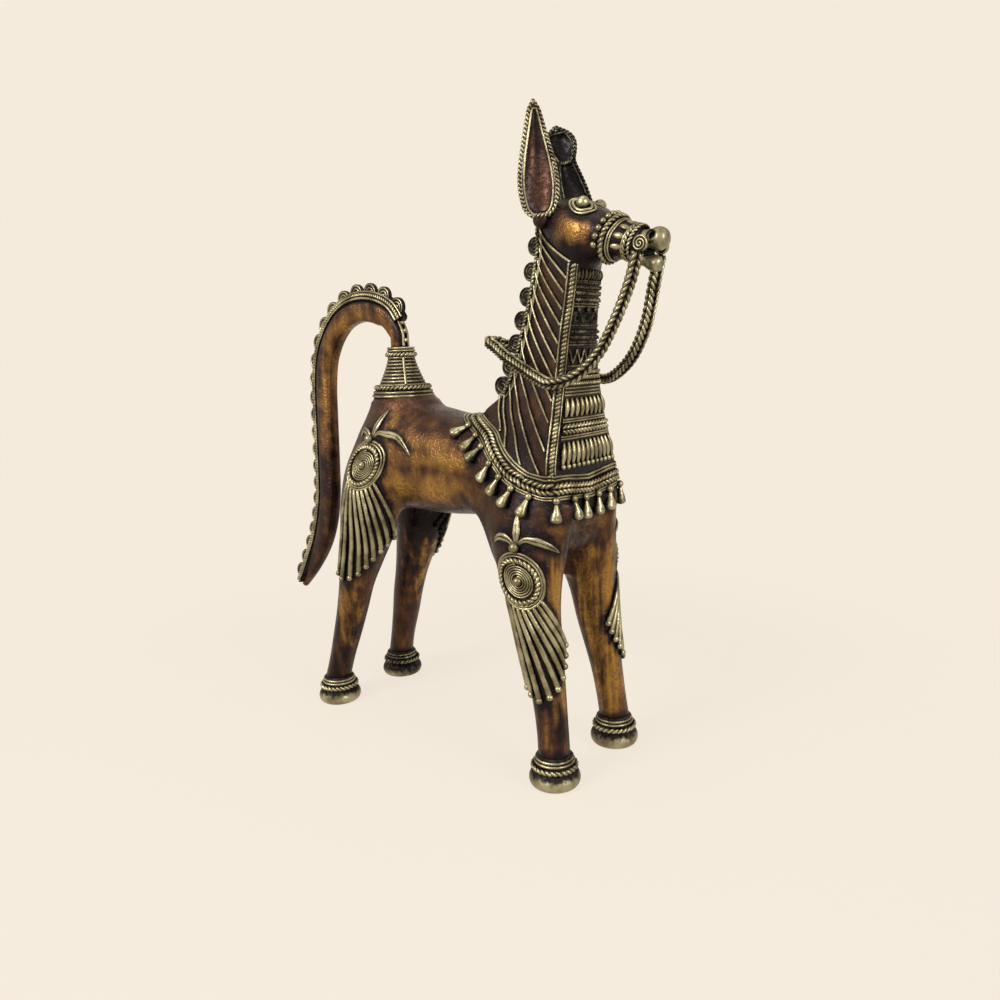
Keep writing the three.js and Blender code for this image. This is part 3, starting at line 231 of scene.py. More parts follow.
floor_mesh = bpy.data.meshes.new("studio_floor")
floor_corners = [(x * FLOOR_REACH, y * FLOOR_REACH, 0) for x, y in ((-1, -1), (1, -1), (1, 1), (-1, 1))]
floor_mesh.from_pydata(floor_corners, [], [(0, 1, 2, 3)])
floor_mesh.materials.append(ground.owner)
floor = bpy.data.objects.new("studio_floor", floor_mesh)
bpy.context.scene.collection.objects.link(floor)
print("floor of", 2 * FLOOR_REACH, "m")

# %% Lamps
LAMPS = {  # place and aim in metres, width and power
    "key_lamp": ((-0.15, -1.0, 0.75), (0, 0, 0.15), 0.55, 14.0),
    "side_lamp": ((1.0, -0.1, 0.55), (0, 0, 0.15), 0.5, 7.0),
    "top_lamp": ((0.05, -0.1, 1.2), (0, 0.01, 0.15), 0.6, 2.5),
}
for name, (place, aim, width, power) in LAMPS.items():
    light = bpy.data.lights.new(name, "AREA")
    light.shape, light.size, light.energy = "DISK", width, power
    back = np.subtract(place, aim) / np.linalg.norm(np.subtract(place, aim))
    across = np.cross([0.0, 0.0, 1.0], back)
    put(bpy.data.objects.new(name, light), across / np.linalg.norm(across), back, place)
bpy.context.scene.view_settings.view_transform = "Standard"
print("studio ready with", len(LAMPS), "lamps")

# %% [markdown]
# ## Meshes from arrays
# Every piece below is an array of points: rows along a path, columns round a section. One function adds the
# faces to such grids, closes their ends, and turns them outwards by the sign of the volume they enclose.

# %% Vectors and circles
def norm(vectors):
    """Vectors cut to length 1."""
    return vectors / np.maximum(np.linalg.norm(vectors, axis=-1, keepdims=True), 1e-9)


def turns(count):
    """So many even turns round a circle, in radians."""
    return np.arange(count) * 2 * np.pi / count


def xyz(x, y, z):
    """Three coordinates as one array of points."""
    return np.stack(np.broadcast_arrays(x, y, z), -1)


def circle(radius, sides):
    """A round section: columns of across and up."""
    return radius * np.stack([np.cos(turns(sides)), np.sin(turns(sides))], -1)


print("a circle of 6 points:", circle(1.0, 6).round(2).tolist())

# %% Grids to meshes
def net(points, rub=1.0, loop=False):
    """Closed skins over k grids of n rows and m columns, given as k x n x m points.

    The columns of a row close into a ring. The rows close too if loop is set, and otherwise the first and
    the last row are capped with a fan to their middle.
    """
    k, n, m = points.shape[:3]
    rub = np.broadcast_to(rub, (k, n, m)).reshape(k, n * m)
    spots = points.reshape(k, n * m, 3)
    index = np.arange(n * m).reshape(n, m)
    here = index if loop else index[:-1]
    there = np.roll(index, -1, 0) if loop else index[1:]
    quads = np.stack([here, np.roll(here, -1, 1), np.roll(there, -1, 1), there], -1).reshape(-1, 4)
    tris = np.zeros((0, 3), int)
    if not loop:
        spots = np.concatenate([spots, points[:, [0, -1]].mean(2)], 1)
        rub = np.concatenate([rub, rub[:, [0, -1]]], 1)
        first = np.stack([np.roll(index[0], -1), index[0], np.full(m, n * m)], -1)
        last = np.stack([index[-1], np.roll(index[-1], -1), np.full(m, n * m + 1)], -1)
        tris = np.concatenate([first, last])
    halves = np.concatenate([quads[:, [0, 1, 2]], quads[:, [0, 2, 3]], tris])
    a, b, c = (spots[:, halves[:, i]] for i in range(3))
    inward = (a * np.cross(b, c)).sum((1, 2))[:, None, None] < 0
    shift = (np.arange(k) * spots.shape[1])[:, None, None]
    shape = {"points": spots.reshape(-1, 3), "rub": rub.reshape(-1)}
    for key, faces in (("quads", quads), ("tris", tris)):
        outward = np.where(inward, faces[None, :, ::-1], faces[None]) + shift
        shape[key] = outward.reshape(-1, faces.shape[1])
    return shape


def together(*shapes):
    """Several shapes as one: the corner numbers of each are moved past the points before it."""
    starts = np.cumsum([0] + [len(shape["points"]) for shape in shapes])
    joined = {key: np.concatenate([shape[key] for shape in shapes]) for key in ("points", "rub")}
    for key in ("quads", "tris"):
        joined[key] = np.concatenate([shape[key] + start for shape, start in zip(shapes, starts)])
    return joined


def dimmed(shape, share):
    """The same shape, rubbed less, so it shows darker: less polish, and on the far hoof and the far ear's
    rim painted shade.
    """
    return {**shape, "rub": shape["rub"] * share}


print("faces of a net of 4 by 5 points:", len(net(np.ones((1, 4, 5, 3)))["quads"]), "and its caps")

# %% Pieces in place of their nodes
def show(node, shape, finish, paint=()):
    """Makes the mesh of a piece, gives it its finish and paint, and sets it in place of its CAD node."""
    mesh = bpy.data.meshes.new(node + "_cast")
    faces = shape["quads"].tolist() + shape["tris"].tolist()
    mesh.from_pydata((shape["points"] * MM).tolist(), [], faces)
    mesh.shade_smooth()
    for name, values in {"rub": shape["rub"], **dict(paint)}.items():
        layer = mesh.attributes.new(name, "FLOAT", "POINT")
        layer.data.foreach_set("value", np.asarray(values, np.float32))
    mesh.materials.append(finish.owner)
    made = bpy.data.objects.new(node + "_cast", mesh)
    bpy.context.scene.collection.objects.link(made)
    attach(made, "root")
    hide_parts(node)
    print(node, len(faces), "faces")


print("nodes to dress:", len(frame["nodes"]))

# %% Sections along paths
def frames(path, up, loop=False):
    """Directions along, across and out at each stop of paths given as k x n points."""
    step = np.roll(path, -1, 1) - np.roll(path, 1, 1) if loop else np.gradient(path, axis=1)
    across = norm(np.cross(step, up))
    return norm(step), across, norm(np.cross(across, step))


def sweep(path, up, section, loop=False):
    """A section carried along paths: each of its points goes so far across and so far out from the path."""
    _, across, out = frames(path, up, loop)
    return path[:, :, None] + across[:, :, None] * section[..., :1] + out[:, :, None] * section[..., 1:]


rail = np.linspace([0.0, 0.0, 0.0], [9.0, 0.0, 0.0], 4)[None]
print("a swept rail:", sweep(rail, np.array([0.0, 0.0, 1.0]), circle(1.0, 6)).shape)

# %% [markdown]
# ## The body's measures
# The body is described by the same kind of rows as the CAD model: sections of the barrel and the head along
# the horse, sections of the legs and the neck by height. A smooth curve runs through each table, and its
# slope at a row comes from the two neighbours.

# %% Measures
# height, the middle along the horse and out from its middle plane, and half of the length and of the width
FRONT_LEG = [
    [15.3, 82.3, 25.9, 7.5, 7.5], [27, 81, 25.1, 7.5, 7.5], [42, 78.8, 24.3, 8.2, 8],
    [65, 74.4, 23.5, 10.4, 9.8], [82, 71.5, 23.6, 12.4, 10.8], [97, 68.6, 22.6, 16, 12],
    [112, 66.6, 20.4, 19.5, 14], [130, 65.5, 19.2, 21.2, 12.2], [142, 66, 17, 18, 10],
]
SHOULDER = [
    [90, 62, 17, 9, 7.5], [96, 61, 17, 13.2, 8.6], [103, 60, 17, 17, 9], [110, 60, 17, 20.4, 9],
    [117, 60, 17, 23.6, 9], [123, 60, 17, 27, 9], [132, 60, 16, 30, 8.5],
]
REAR_LEG = [
    [15.3, -76.4, 25.2, 7.4, 7.4], [27, -72.8, 24.2, 7.4, 7.4], [44, -67.2, 23, 8.3, 8.3],
    [58, -63, 22, 9.1, 9], [73, -58.2, 21.8, 10.4, 9.8], [88, -52.6, 21.4, 13.4, 11.4],
    [101, -48.2, 20.8, 16.8, 12.4], [120, -44, 19.4, 20.5, 13.6], [140, -40, 16.4, 21.5, 13.8],
    [158, -36, 10, 19.5, 13], [173, -33.4, 3.5, 15.5, 11.5],
]
CROUP = [[146, -36.5, 0, 25, 22.5], [162, -35.2, 0, 20.4, 19], [177.2, -34.3, 0, 16, 16]]
# place along the horse, then the height of the middle, and half of the height and of the width
BARREL = [
    [-50, 150, 14, 12], [-42, 148, 24, 20], [-28, 147, 29, 25], [-10, 145, 28, 26], [8, 143.5, 26.2, 25.5],
    [28, 142.8, 24.2, 25], [46, 140.2, 24.5, 25.4], [60, 136.5, 26.4, 26.6], [73, 132.5, 26.6, 26.2],
    [80, 130, 22.5, 23.5], [84, 128, 14.5, 16.5], [86, 127, 6, 8],
]
HEAD = [
    [61.5, 255.5, 3.2, 3], [66, 255, 7.6, 5.4], [74, 252.6, 12.2, 9.8], [83, 249.8, 14.4, 12.4],
    [91, 248.2, 12.6, 12], [98, 247, 10.2, 10.2], [105, 244.9, 8.5, 8.5], [111, 243.3, 7.1, 7.2],
    [115, 242.5, 6.3, 6.5],
]
# height, then the ridge and the breast along the horse, half widths at both, and how fast the side widens
NECK = [
    [128, 46, 85.6, 12, 25.6, 0.5], [139, 36, 84.8, 9, 26.6, 0.5], [150, 29, 84, 5.5, 25.6, 0.6],
    [162, 25, 83.4, 3.6, 22.2, 0.75], [171, 26.5, 83, 3.1, 19.4, 0.9], [178, 36, 82.8, 3, 17.7, 1],
    [186, 42.2, 82.7, 3, 15.8, 1], [196, 46.4, 83, 3, 14.2, 1], [207, 50.8, 83.8, 3, 13, 1],
    [221, 55.6, 85.7, 3, 11.8, 1], [236, 59.6, 87.6, 3, 11.1, 1], [250, 63, 88.6, 3, 10, 1],
]


print("sections:", sum(len(rows) for rows in (FRONT_LEG, SHOULDER, REAR_LEG, CROUP, BARREL, HEAD, NECK)))

# %% Curves through tables
def through(rows):
    """A smooth curve through a table: a function from the first column to the others."""
    rows = np.array(rows, float)
    stations, last = rows[:, 0], len(rows) - 1
    number = np.arange(last + 1)
    before, after = rows[np.maximum(number - 1, 0)], rows[np.minimum(number + 1, last)]
    slopes = (after - before) / (after[:, :1] - before[:, :1])
    fine = np.linspace(stations[0], stations[-1], 900)
    i = np.clip(np.searchsorted(stations, fine, "right"), 1, last)
    a, b, span = rows[i - 1], rows[i], (stations[i] - stations[i - 1])[:, None]
    t = (fine[:, None] - a[:, :1]) / span
    bend = span * t * (1 - t) * (slopes[i - 1] * (1 - t) - slopes[i] * t)
    dense = a + (b - a) * t * t * (3 - 2 * t) + bend
    return lambda station: [np.interp(station, fine, column) for column in dense.T[1:]]


def run_of(points):
    """How far along a line each of its points lies."""
    return np.concatenate([[0], np.cumsum(np.linalg.norm(np.diff(points, axis=0), axis=1))])


def route(points):
    """A smooth line through points: a function from a share of its length, 0 to 1, to places on it."""
    points = np.array(points, float)
    run = run_of(points)
    line = through(np.column_stack([run, points]))
    fine = np.linspace(0, run[-1], 3000)
    walked = run_of(np.stack(line(fine), -1))
    return lambda share: np.stack(line(np.interp(np.asarray(share) * walked[-1], walked, fine)), -1)


barrel_at, neck_at, head_at, croup_at = (through(rows) for rows in (BARREL, NECK, HEAD, CROUP))
front_at, rear_at, shoulder_at = (through(rows) for rows in (FRONT_LEG, REAR_LEG, SHOULDER))
print("the neck at 200 mm:", [round(float(value), 1) for value in neck_at(200.0)])

# %% [markdown]
# ## The body as a field
# Clay and wax melt into one skin wherever two limbs meet. A field does the same: it is negative inside the
# horse, positive outside, and about as large as the distance to the skin. Each limb has its own field, and a
# rounded minimum joins two of them with a fillet. The skin is where the whole field is zero.

# %% Limbs
BREAST_SWELL, NECK_EDGE = 1.2, 1.6


def blend(a, b, width):
    """The smaller of two fields, rounded where they are less than width apart."""
    h = np.clip(0.5 + 0.5 * (b - a) / width, 0, 1)
    return b + (a - b) * h - width * h * (1 - h)


def within(field, value, start, end):
    """A field cut off where a value leaves the stretch from start to end."""
    return np.maximum(field, np.maximum(start - value, value - end))


def tube_field(table, ends, squareness, x, y, z):
    """Rounded sections along X: the share of a section's size where a point lies, less 1, times the size."""
    middle, tall, wide = table(x)
    powers = (np.abs(y) / wide) ** squareness + (np.abs(z - middle) / tall) ** squareness
    share = powers ** (1 / squareness)
    return within((share - 1) * np.minimum(tall, wide), x, *ends)


def limb_field(table, ends, side, x, y, z):
    """Elliptic sections by height, about an axis that leans with the table."""
    along, out, long, wide = table(z)
    share = np.hypot((x - along) / long, (y - side * out) / wide)
    return within((share - 1) * np.minimum(long, wide), z, *ends)


def neck_field(x, y, z):
    """A wedge: the nearest of its two flat sides, its ridge and its breast, with rounded edges."""
    ridge, breast, thin, wide, full = neck_at(z)
    share = np.clip((x - ridge) / (breast - ridge), 0, 1)
    flank = (np.abs(y) - thin - (wide - thin) * share**full) * 0.95
    front = x - breast - BREAST_SWELL * (1 - np.clip(y / wide, -1, 1) ** 2)
    wedge = -blend(blend(-flank, -front, NECK_EDGE), x - ridge, NECK_EDGE)
    return within(wedge, z, NECK[0][0], NECK[-1][0])


print("field on the neck's middle plane:", round(float(neck_field(65.0, 0.0, 200.0)), 2), "mm")

# %% Whole body
BARREL_SQUARENESS, HEAD_SQUARENESS = 2.25, 2.0  # 2 makes round sections, more makes squarish ones
LEG_FOOT, HEAD_END = 14.6, 115.3  # inside the hooves and the nose
CROUP_FILLET, REAR_FILLET, SHOULDER_FILLET = 9.0, 6.0, 3.0
FRONT_FILLET, HEAD_FILLET, NECK_FILLET = 4.0, 5.0, 3.5
VENT_X, VENT_RADIUS, VENT_TOP = 4.0, 4.5, 121.6


def body_field(x, y, z):
    """The whole skin: limbs joined with fillets, less the vent under the belly."""
    ends = lambda rows, start=None, end=None: (start or rows[0][0], end or rows[-1][0])
    at = (x, y, z)
    body = blend(tube_field(barrel_at, ends(BARREL), BARREL_SQUARENESS, *at),
                 limb_field(croup_at, ends(CROUP), 1, *at), CROUP_FILLET)
    for side in (-1, 1):
        body = blend(body, limb_field(rear_at, ends(REAR_LEG, LEG_FOOT), side, *at), REAR_FILLET)
        front = blend(limb_field(front_at, ends(FRONT_LEG, LEG_FOOT), side, *at),
                      limb_field(shoulder_at, ends(SHOULDER), side, *at), SHOULDER_FILLET)
        body = blend(body, front, FRONT_FILLET)
    head = tube_field(head_at, ends(HEAD, end=HEAD_END), HEAD_SQUARENESS, *at)
    body = blend(body, blend(neck_field(*at), head, HEAD_FILLET), NECK_FILLET)
    vent = np.maximum(np.hypot(x - VENT_X, y) - VENT_RADIUS, z - VENT_TOP)
    return np.maximum(body, -vent)


print("field at the middle of the barrel:", round(float(body_field(0.0, 0.0, 145.0)), 2), "mm")

# %% Falls onto the skin
def field_at(points):
    """The field at an array of points."""
    return body_field(*np.moveaxis(points, -1, 0))


def lean(points):
    """Outward directions on the skin: how the field grows along each axis."""
    nudges = np.eye(3) * 0.35
    return norm(np.stack([field_at(points + nudge) - field_at(points - nudge) for nudge in nudges], -1))


def over(start, way):
    """Falls from start against way until it meets the skin, each time a little less than the field says."""
    points = np.array(start, float)
    for _ in range(26):
        points = points - way * 0.9 * field_at(points)[..., None]
    return points, lean(points)


print("straight down onto the croup:", over([-35.0, 0.0, 230.0], np.array([0.0, 0.0, 1.0]))[0].round(1))

# %% [markdown]
# ## The skin
# To draw the skin, the field is worked out on a grid of small boxes. Each box that the skin crosses gets one
# point, at the mean of its crossed edges, and each crossed grid edge gets one face between the four boxes
# round it. A few steps along the field's slope then bring every point exactly onto the skin.

# %% Skin
SKIN_LOW, SKIN_HIGH, SKIN_STEP = (-90, -40, 12), (120, 40, 270), 1.45


def skin_of(field, low, high, step):
    """The surface where a field is zero, as points and quads, from boxes of the given size."""
    xs, ys, zs = (np.arange(a, b + step, step) for a, b in zip(low, high))
    values = field(xs[:, None, None], ys[None, :, None], zs[None, None, :])
    shape = np.array(values.shape)
    total, count = np.zeros((*(shape - 1), 3)), np.zeros(shape - 1)
    corner_values = lambda c: values[tuple(slice(a, n - 1 + a) for a, n in zip(c, shape))]
    unit = np.eye(3, dtype=int)
    for a in np.array([[i, j, k] for i in (0, 1) for j in (0, 1) for k in (0, 1)]):
        for b in a + unit[a == 0]:
            here, there = corner_values(a), corner_values(b)
            crossed = (here < 0) != (there < 0)
            share = np.where(crossed, here / np.where(crossed, here - there, 1), 0)
            total += np.where(crossed[..., None], a + share[..., None] * (b - a), 0)
            count += crossed
    used = count > 0
    number = np.full(used.shape, -1)
    number[used] = np.arange(used.sum())
    corner = np.array([xs[0], ys[0], zs[0]])
    points = corner + step * (np.argwhere(used) + total[used] / count[used][:, None])
    quads = []
    for axis in range(3):
        u, v = np.roll(unit, -axis, 0)[1:]
        first, second = [slice(1, -1)] * 3, [slice(1, -1)] * 3
        first[axis], second[axis] = slice(0, -1), slice(1, None)
        here, there = values[tuple(first)] < 0, values[tuple(second)] < 0
        edges = np.argwhere(here != there)
        out = here[tuple(edges.T)]
        edges = edges + 1 - unit[axis]
        around = np.stack([number[tuple((edges - d).T)] for d in (0 * u, u, u + v, v)], -1)
        quads.append(np.where(out[:, None], around, around[:, ::-1]))
    return points, np.concatenate(quads)


skin_points, skin_quads = skin_of(body_field, SKIN_LOW, SKIN_HIGH, SKIN_STEP)
for _ in range(4):
    skin_points = skin_points - lean(skin_points) * field_at(skin_points)[:, None] * 0.8
print("skin:", len(skin_points), "points,", len(skin_quads), "quads")

# %% [markdown]
# ## Places on the skin
# The maker lays a thread by pressing it on the wax. In numbers, a thread is a list of spots, and each spot
# falls onto the skin from outside: towards a leg's axis, towards the neck from the side, and so on. What
# comes back is where it lands and which way is out there.

# %% Spots
def spot_on_leg(leg, height, turn):
    """At a height, and at a turn from straight outwards towards the head."""
    table, side = leg
    along, out, long, wide = table(height)
    way = norm(xyz(long * np.sin(turn), side * wide * np.cos(turn), 0.0))
    return over(xyz(along, side * out, height) + way * 40, way)


def spot_on_flank(side, x, height):
    """At a place along the horse and a height, seen from its side."""
    return over(xyz(x, side * 60.0, height), np.array([0.0, side, 0.0]))


def spot_on_neck(side, height, share):
    """On the flat of the neck: share 0 is the ridge and 1 the corner of the breast."""
    ridge, breast, *_ = neck_at(height)
    return spot_on_flank(side, ridge + (breast - ridge) * share, height)


def spot_on_breast(height, share):
    """On the front of the neck: share -1 and 1 are its corners."""
    return over(xyz(120.0, neck_at(height)[3] * share, height), np.array([1.0, 0.0, 0.0]))


def spot_on_corner(side, height):
    """On the edge between the side of the neck and the breast."""
    _, breast, _, wide, _ = neck_at(height)
    way = norm(np.array([1.0, side * 0.9, 0.0]))
    points, _ = over(xyz(breast, side * wide, height) + way * 15, way)
    return points, np.broadcast_to(way, points.shape)


def spot_on_head(x, turn):
    """Round the head: turn 0 is straight up, and positive turns go to the horse's left."""
    middle, tall, wide = head_at(x)
    way = norm(xyz(0.0, wide * np.sin(turn), tall * np.cos(turn)))
    return over(xyz(x, 0.0, middle) + way * 25, way)


print("a spot on the barrel:", spot_on_flank(-1, 10.0, 145.0)[0].round(1))

# %% [markdown]
# ## Threads, ropes, braids and beads
# Most of the ornament is made of four things. A thread is a round wire pressed a little into the skin. A
# rope is two threads twisted round each other. A braid is two ropes of opposite twist side by side, which
# gives the herringbone of the collar. A bead is a ball. Each point also gets a number for rubbing: 0 deep
# between the threads, where the dark stays, and 1 on top, where hands and polish reach.

# %% Threads
def stacked(path, up):
    """Paths and directions as k x n x 3, whether one path or several came in."""
    path, up = np.asarray(path, float), np.asarray(up, float)
    up = np.broadcast_to(up, path.shape)
    return (path[None], up[None]) if path.ndim == 2 else (path, up)


def thread(path, up, radius, size=1.0, lift=0.45, loop=False, sides=7):
    """A round wire along paths on the skin, its middle lifted by a share of its radius.

    Its rubbing grows with the height over the skin.
    """
    path, up = stacked(path, up)
    section = circle(radius, sides) + [0, lift * radius]
    size = np.broadcast_to(size, path.shape[:2])[..., None, None]
    rub = np.clip((section[:, 1] + 0.2 * radius) / (1.5 * radius), 0, 1)
    return net(sweep(path, up, section * size, loop), rub, loop)


print("rubbing of a thread:", thread(rail[0], [0.0, 0.0, 1.0], 1.0)["rub"][:7].round(2))

# %% Ropes and braids
STRAND_REACH, STRAND_RADIUS = 0.24, 0.3  # of a rope's strand, as shares of the rope's width
STEPS_IN_A_PITCH = 11


def evenly(path, up, step, loop=False):
    """A path cut into even steps: its places and directions, and how far along each is."""
    if loop:
        path, up = np.concatenate([path, path[:1]]), np.concatenate([up, up[:1]])
    run = run_of(path)
    stops = np.linspace(0, run[-1], max(int(run[-1] / step), 6) + 1)
    stops = stops[:-1] if loop else stops
    cut = lambda values: np.stack([np.interp(stops, run, values[:, i]) for i in range(3)], -1)
    return cut(path), norm(cut(up)), stops, run[-1]


def rope(path, up, width, pitch, hand=1, lift=0.25, loop=False, shift=0.0, free=False):
    """Two strands that wind round a path: the middle of a strand turns once in each pitch.

    On the skin the rubbing grows with the height over it, on a free rope with the distance from its path.
    """
    path, up = np.asarray(path, float), np.broadcast_to(np.asarray(up, float), np.shape(path))
    path, up, stops, length = evenly(path, up, pitch / STEPS_IN_A_PITCH, loop)
    pitch = length / max(round(length / pitch), 1) if loop else pitch
    _, across, out = frames(path[None], up[None], loop)
    foot = path + across[0] * shift
    angle = hand * 2 * np.pi * stops / pitch + np.array([[0.0], [np.pi]])
    reach, strand = width * STRAND_REACH, width * STRAND_RADIUS
    height = lift * width + reach * np.sin(angle)
    middle = foot + across * (reach * np.cos(angle))[..., None] + out * height[..., None]
    points = sweep(middle, np.broadcast_to(out, middle.shape), circle(strand, 7), loop)
    if free:
        furthest = np.hypot(shift, lift * width) + reach + strand
        away = np.linalg.norm(points - path[None, :, None], axis=-1) / furthest
        return net(points, np.clip((away - 0.5) / 0.42, 0, 1), loop)
    over_skin = ((points - foot[None, :, None]) * out[:, :, None]).sum(-1) / (lift * width + reach + strand)
    return net(points, np.clip((over_skin - 0.12) / 0.75, 0, 1), loop)


def braid(path, up, width, pitch, loop=False, lift=0.2):
    """Two ropes of opposite twist, each half as wide as the braid, side by side."""
    halves = (rope(path, up, width / 2, pitch, hand, lift, loop, -hand * width / 4) for hand in (1, -1))
    return together(*halves)


print("points of a braid 9 mm long:", len(braid(rail[0], [0.0, 0.0, 1.0], 5.0, 5.0)["points"]))

# %% Balls, lathe pieces and rings
def axes_about(axis):
    """Unit vectors along an axis and in two directions square to it."""
    axis = norm(np.asarray(axis, float))
    pole = np.where(np.abs(axis[..., 2:]) < 0.9, [0.0, 0.0, 1.0], [1.0, 0.0, 0.0])
    across = norm(np.cross(pole, axis))
    return axis, across, np.cross(axis, across)


def beads(middles, radii, up=(0, 0, 1)):
    """Balls at given middles. Their rows run from pole to pole along up."""
    middles = np.asarray(middles, float).reshape(-1, 3)
    radii = np.broadcast_to(radii, len(middles))
    axis, across, aside = axes_about(np.broadcast_to(np.asarray(up, float), middles.shape))
    fall, turn = np.linspace(0.22, np.pi - 0.22, 8)[:, None], turns(12)
    local = xyz(np.sin(fall) * np.cos(turn), np.sin(fall) * np.sin(turn), np.cos(fall))
    steps = np.einsum("nmi,kij->knmj", local, np.stack([across, aside, axis], 1))
    rub = np.clip(0.55 + 0.6 * np.cos(fall), 0, 1)
    return net(middles[:, None, None] + steps * radii[:, None, None, None], rub)


def turned(profile, foot, axis, rub=1.0, sides=48):
    """A lathe piece: rows of radius and height about an axis that leaves its foot."""
    axis, across, aside = axes_about(axis)
    turn = turns(sides)[:, None]
    radius, height = np.array(profile, float).T[:, :, None, None]
    points = np.array(foot, float) + height * axis + radius * (np.cos(turn) * across + np.sin(turn) * aside)
    return net(points[None], np.broadcast_to(np.asarray(rub), (1, len(profile)))[..., None])


def rounded_profile(points, count):
    """A lathe profile through a few points, made smooth: radius and height at so many rows."""
    flat = np.column_stack([np.array(points, float), np.zeros(len(points))])
    return np.maximum(route(flat)(np.linspace(0, 1, count))[:, :2], [0.02, -99])


def ring_about(foot, axis, radius, height, count=72):
    """A circle about an axis, with its outward directions."""
    axis, across, aside = axes_about(axis)
    turn = turns(count)[:, None]
    out = np.cos(turn) * across + np.sin(turn) * aside
    return np.array(foot, float) + axis * height + out * radius, out


def hoop(foot, axis, radius, height, wire, count=72):
    """A plain wire bent into a circle about an axis."""
    return thread(*ring_about(foot, axis, radius, height, count), wire, loop=True)


print("points of a bead:", len(beads([0, 0, 0], 1.0)["points"]))

# %% [markdown]
# ## Finishes
# The ornament is pale, slightly green brass with near-black between the threads. The smooth skin is a dark
# brown patina that was rubbed back to a golden brown in patches, with fine pits. Both read numbers that are
# painted on the points, and both break these up with grain, so that no edge is clean. The core is fired
# clay.

# %% Brass
brass = Finish(bpy.data.materials.new("rubbed_brass"))
blotches, crumbs = brass.noise(95, 3), brass.noise(480, 4)
worn = brass.painted("rub") + (crumbs - 0.5) * 0.6 + (blotches - 0.5) * 0.5
bright = brass.step(worn, 0.42, 1.0)
tint = brass.mix(brass.step(blotches, 0.35, 0.65), colour(122, 112, 82), colour(168, 159, 126))
dull = brass.mix(brass.step(crumbs, 0.4, 0.65), colour(14, 11, 10), colour(50, 42, 32))
brass.surface(
    Base_Color=brass.mix(bright, dull, tint),
    Metallic=0.8 + 0.1 * bright,
    Roughness=0.6 - 0.26 * bright,
    Normal=brass.bump(brass.noise(900, 3), 0.3, 0.0004),
)


def set_on(node, *shapes, rub=1.0):
    """Shows some shapes as one piece of brass, its rubbing set to a share of the usual: less polish, and on
    the far hoof and the far ear's rim painted shade.
    """
    show(node, dimmed(together(*shapes), rub), brass)


print("brass ready with", len(brass.tree.nodes), "nodes")

# %% Patina and clay
patina = Finish(bpy.data.materials.new("patina_bronze"))
cloud, patch, pits = patina.noise(38, 3), patina.noise(150, 5), patina.noise(620, 4)
streaks = (patina.noise(230, 3, (1.0, 1.0, 0.08)) - 0.5) * patina.painted("streaky")
# painted_shade is painted shade laid on the points: it takes the gold away and darkens the brown
painted_shade = patina.painted("painted_shade")
gilt = patina.painted("gilt") + (cloud - 0.5) * 0.45 + (patch - 0.5) * 0.85 + streaks * 1.6 - painted_shade * 0.8
golden = patina.step(gilt, 0.2, 0.95)
pitted = patina.step(pits + (patch - 0.5) * 0.5, 0.5, 0.66)
depth = patina.step(cloud + patch * 0.6 + streaks - painted_shade * 0.6, 0.45, 1.05)
brown = patina.mix(depth, colour(28, 19, 20), colour(78, 49, 32))
ochre = patina.mix(patina.step(cloud + streaks, 0.3, 0.7), colour(110, 75, 34), colour(160, 118, 52))
rubbed = patina.mix(pitted * 0.5, ochre, colour(74, 47, 38))
relief = patina.noise(85, 2) * 1.6 + patch * 0.5 - pitted * 0.35
# where the painted shade is strong, the colour goes to a near-black shadow colour
patina.surface(
    Base_Color=patina.mix(patina.step(painted_shade, 0.35, 1.1), patina.mix(golden, brown, rubbed), colour(12, 8, 9)),
    Metallic=0.8,
    Roughness=0.36 - 0.06 * golden + pitted * 0.16,
    Normal=patina.bump(relief, 0.4, 0.0008),
)

clay = Finish(bpy.data.materials.new("fired_clay"))
fired = clay.mix(clay.noise(300, 5), colour(88, 70, 55), colour(134, 110, 86))
clay.surface(Base_Color=fired, Roughness=0.95)
core = frame["nodes"]["clay_core"]
core.data.materials.clear()
core.data.materials.append(clay.owner)
print("patina ready with", len(patina.tree.nodes), "nodes")

# %% [markdown]
# ## Hooves
# Each foot is a bell with a bright bulging rim. A rope runs round it, and two plain rings close it to the
# leg. A lathe profile gives the bell, and the rings are paths round its axis.

# %% Hooves
SIDES = {"right": -1, "left": 1}
TABLES = {"front": front_at, "rear": rear_at}
LEGS = {f"{end}_{hand}": (TABLES[end], way) for end in TABLES for hand, way in SIDES.items()}
SHADED_LEG = "rear_left"  # the far leg: its hoof and the front edge of its fan are darkened as painted shade
UPRIGHT = (0, 0, 1)
HOOF_TOP = 15.3
HOOF = [  # radius and height
    [0.02, 0], [5, 0], [9.4, 0.05], [11.2, 0.9], [12.1, 2.8], [12.1, 4.4], [11.3, 6.3], [10.0, 7.6],
    [9.3, 8.2], [9.0, 10.8], [8.5, 12.4], [7.9, HOOF_TOP], [4, 15.6], [0.02, 15.6],
]
HOOF_RUB = [[0, 0.6], [0.4, 0.9], [2, 1.05], [4, 0.9], [6.4, 0.5], [8.4, 0.08], [16, 0.1]]  # by height
bell = rounded_profile(HOOF, 64)
for name, (table, side) in LEGS.items():
    along, out, *_ = table(HOOF_TOP)
    foot = [along, side * out, 0]
    set_on(
        "hoof_" + name,
        turned(bell, foot, UPRIGHT, np.interp(bell[:, 1], *np.transpose(HOOF_RUB))),
        rope(*ring_about(foot, UPRIGHT, 9.2, 9.8), 2.7, 4.6, side, loop=True),
        hoop(foot, UPRIGHT, 8.6, 12.2, 0.75),
        hoop(foot, UPRIGHT, 8.1, 13.8, 0.7),
        # the far hoof is darker: painted shade
        rub=0.72 if name == SHADED_LEG else 1.0,
    )

# %% [markdown]
# ## Leg ornaments
# On each leg a spiral medallion lies in a rope ring. Under it hangs a fan of rays that end in beads, and
# above it a bead holds three leaves. Medallion and rays start from its centre by distance and bearing, and
# every point falls onto the leg, so the disc bends with it.

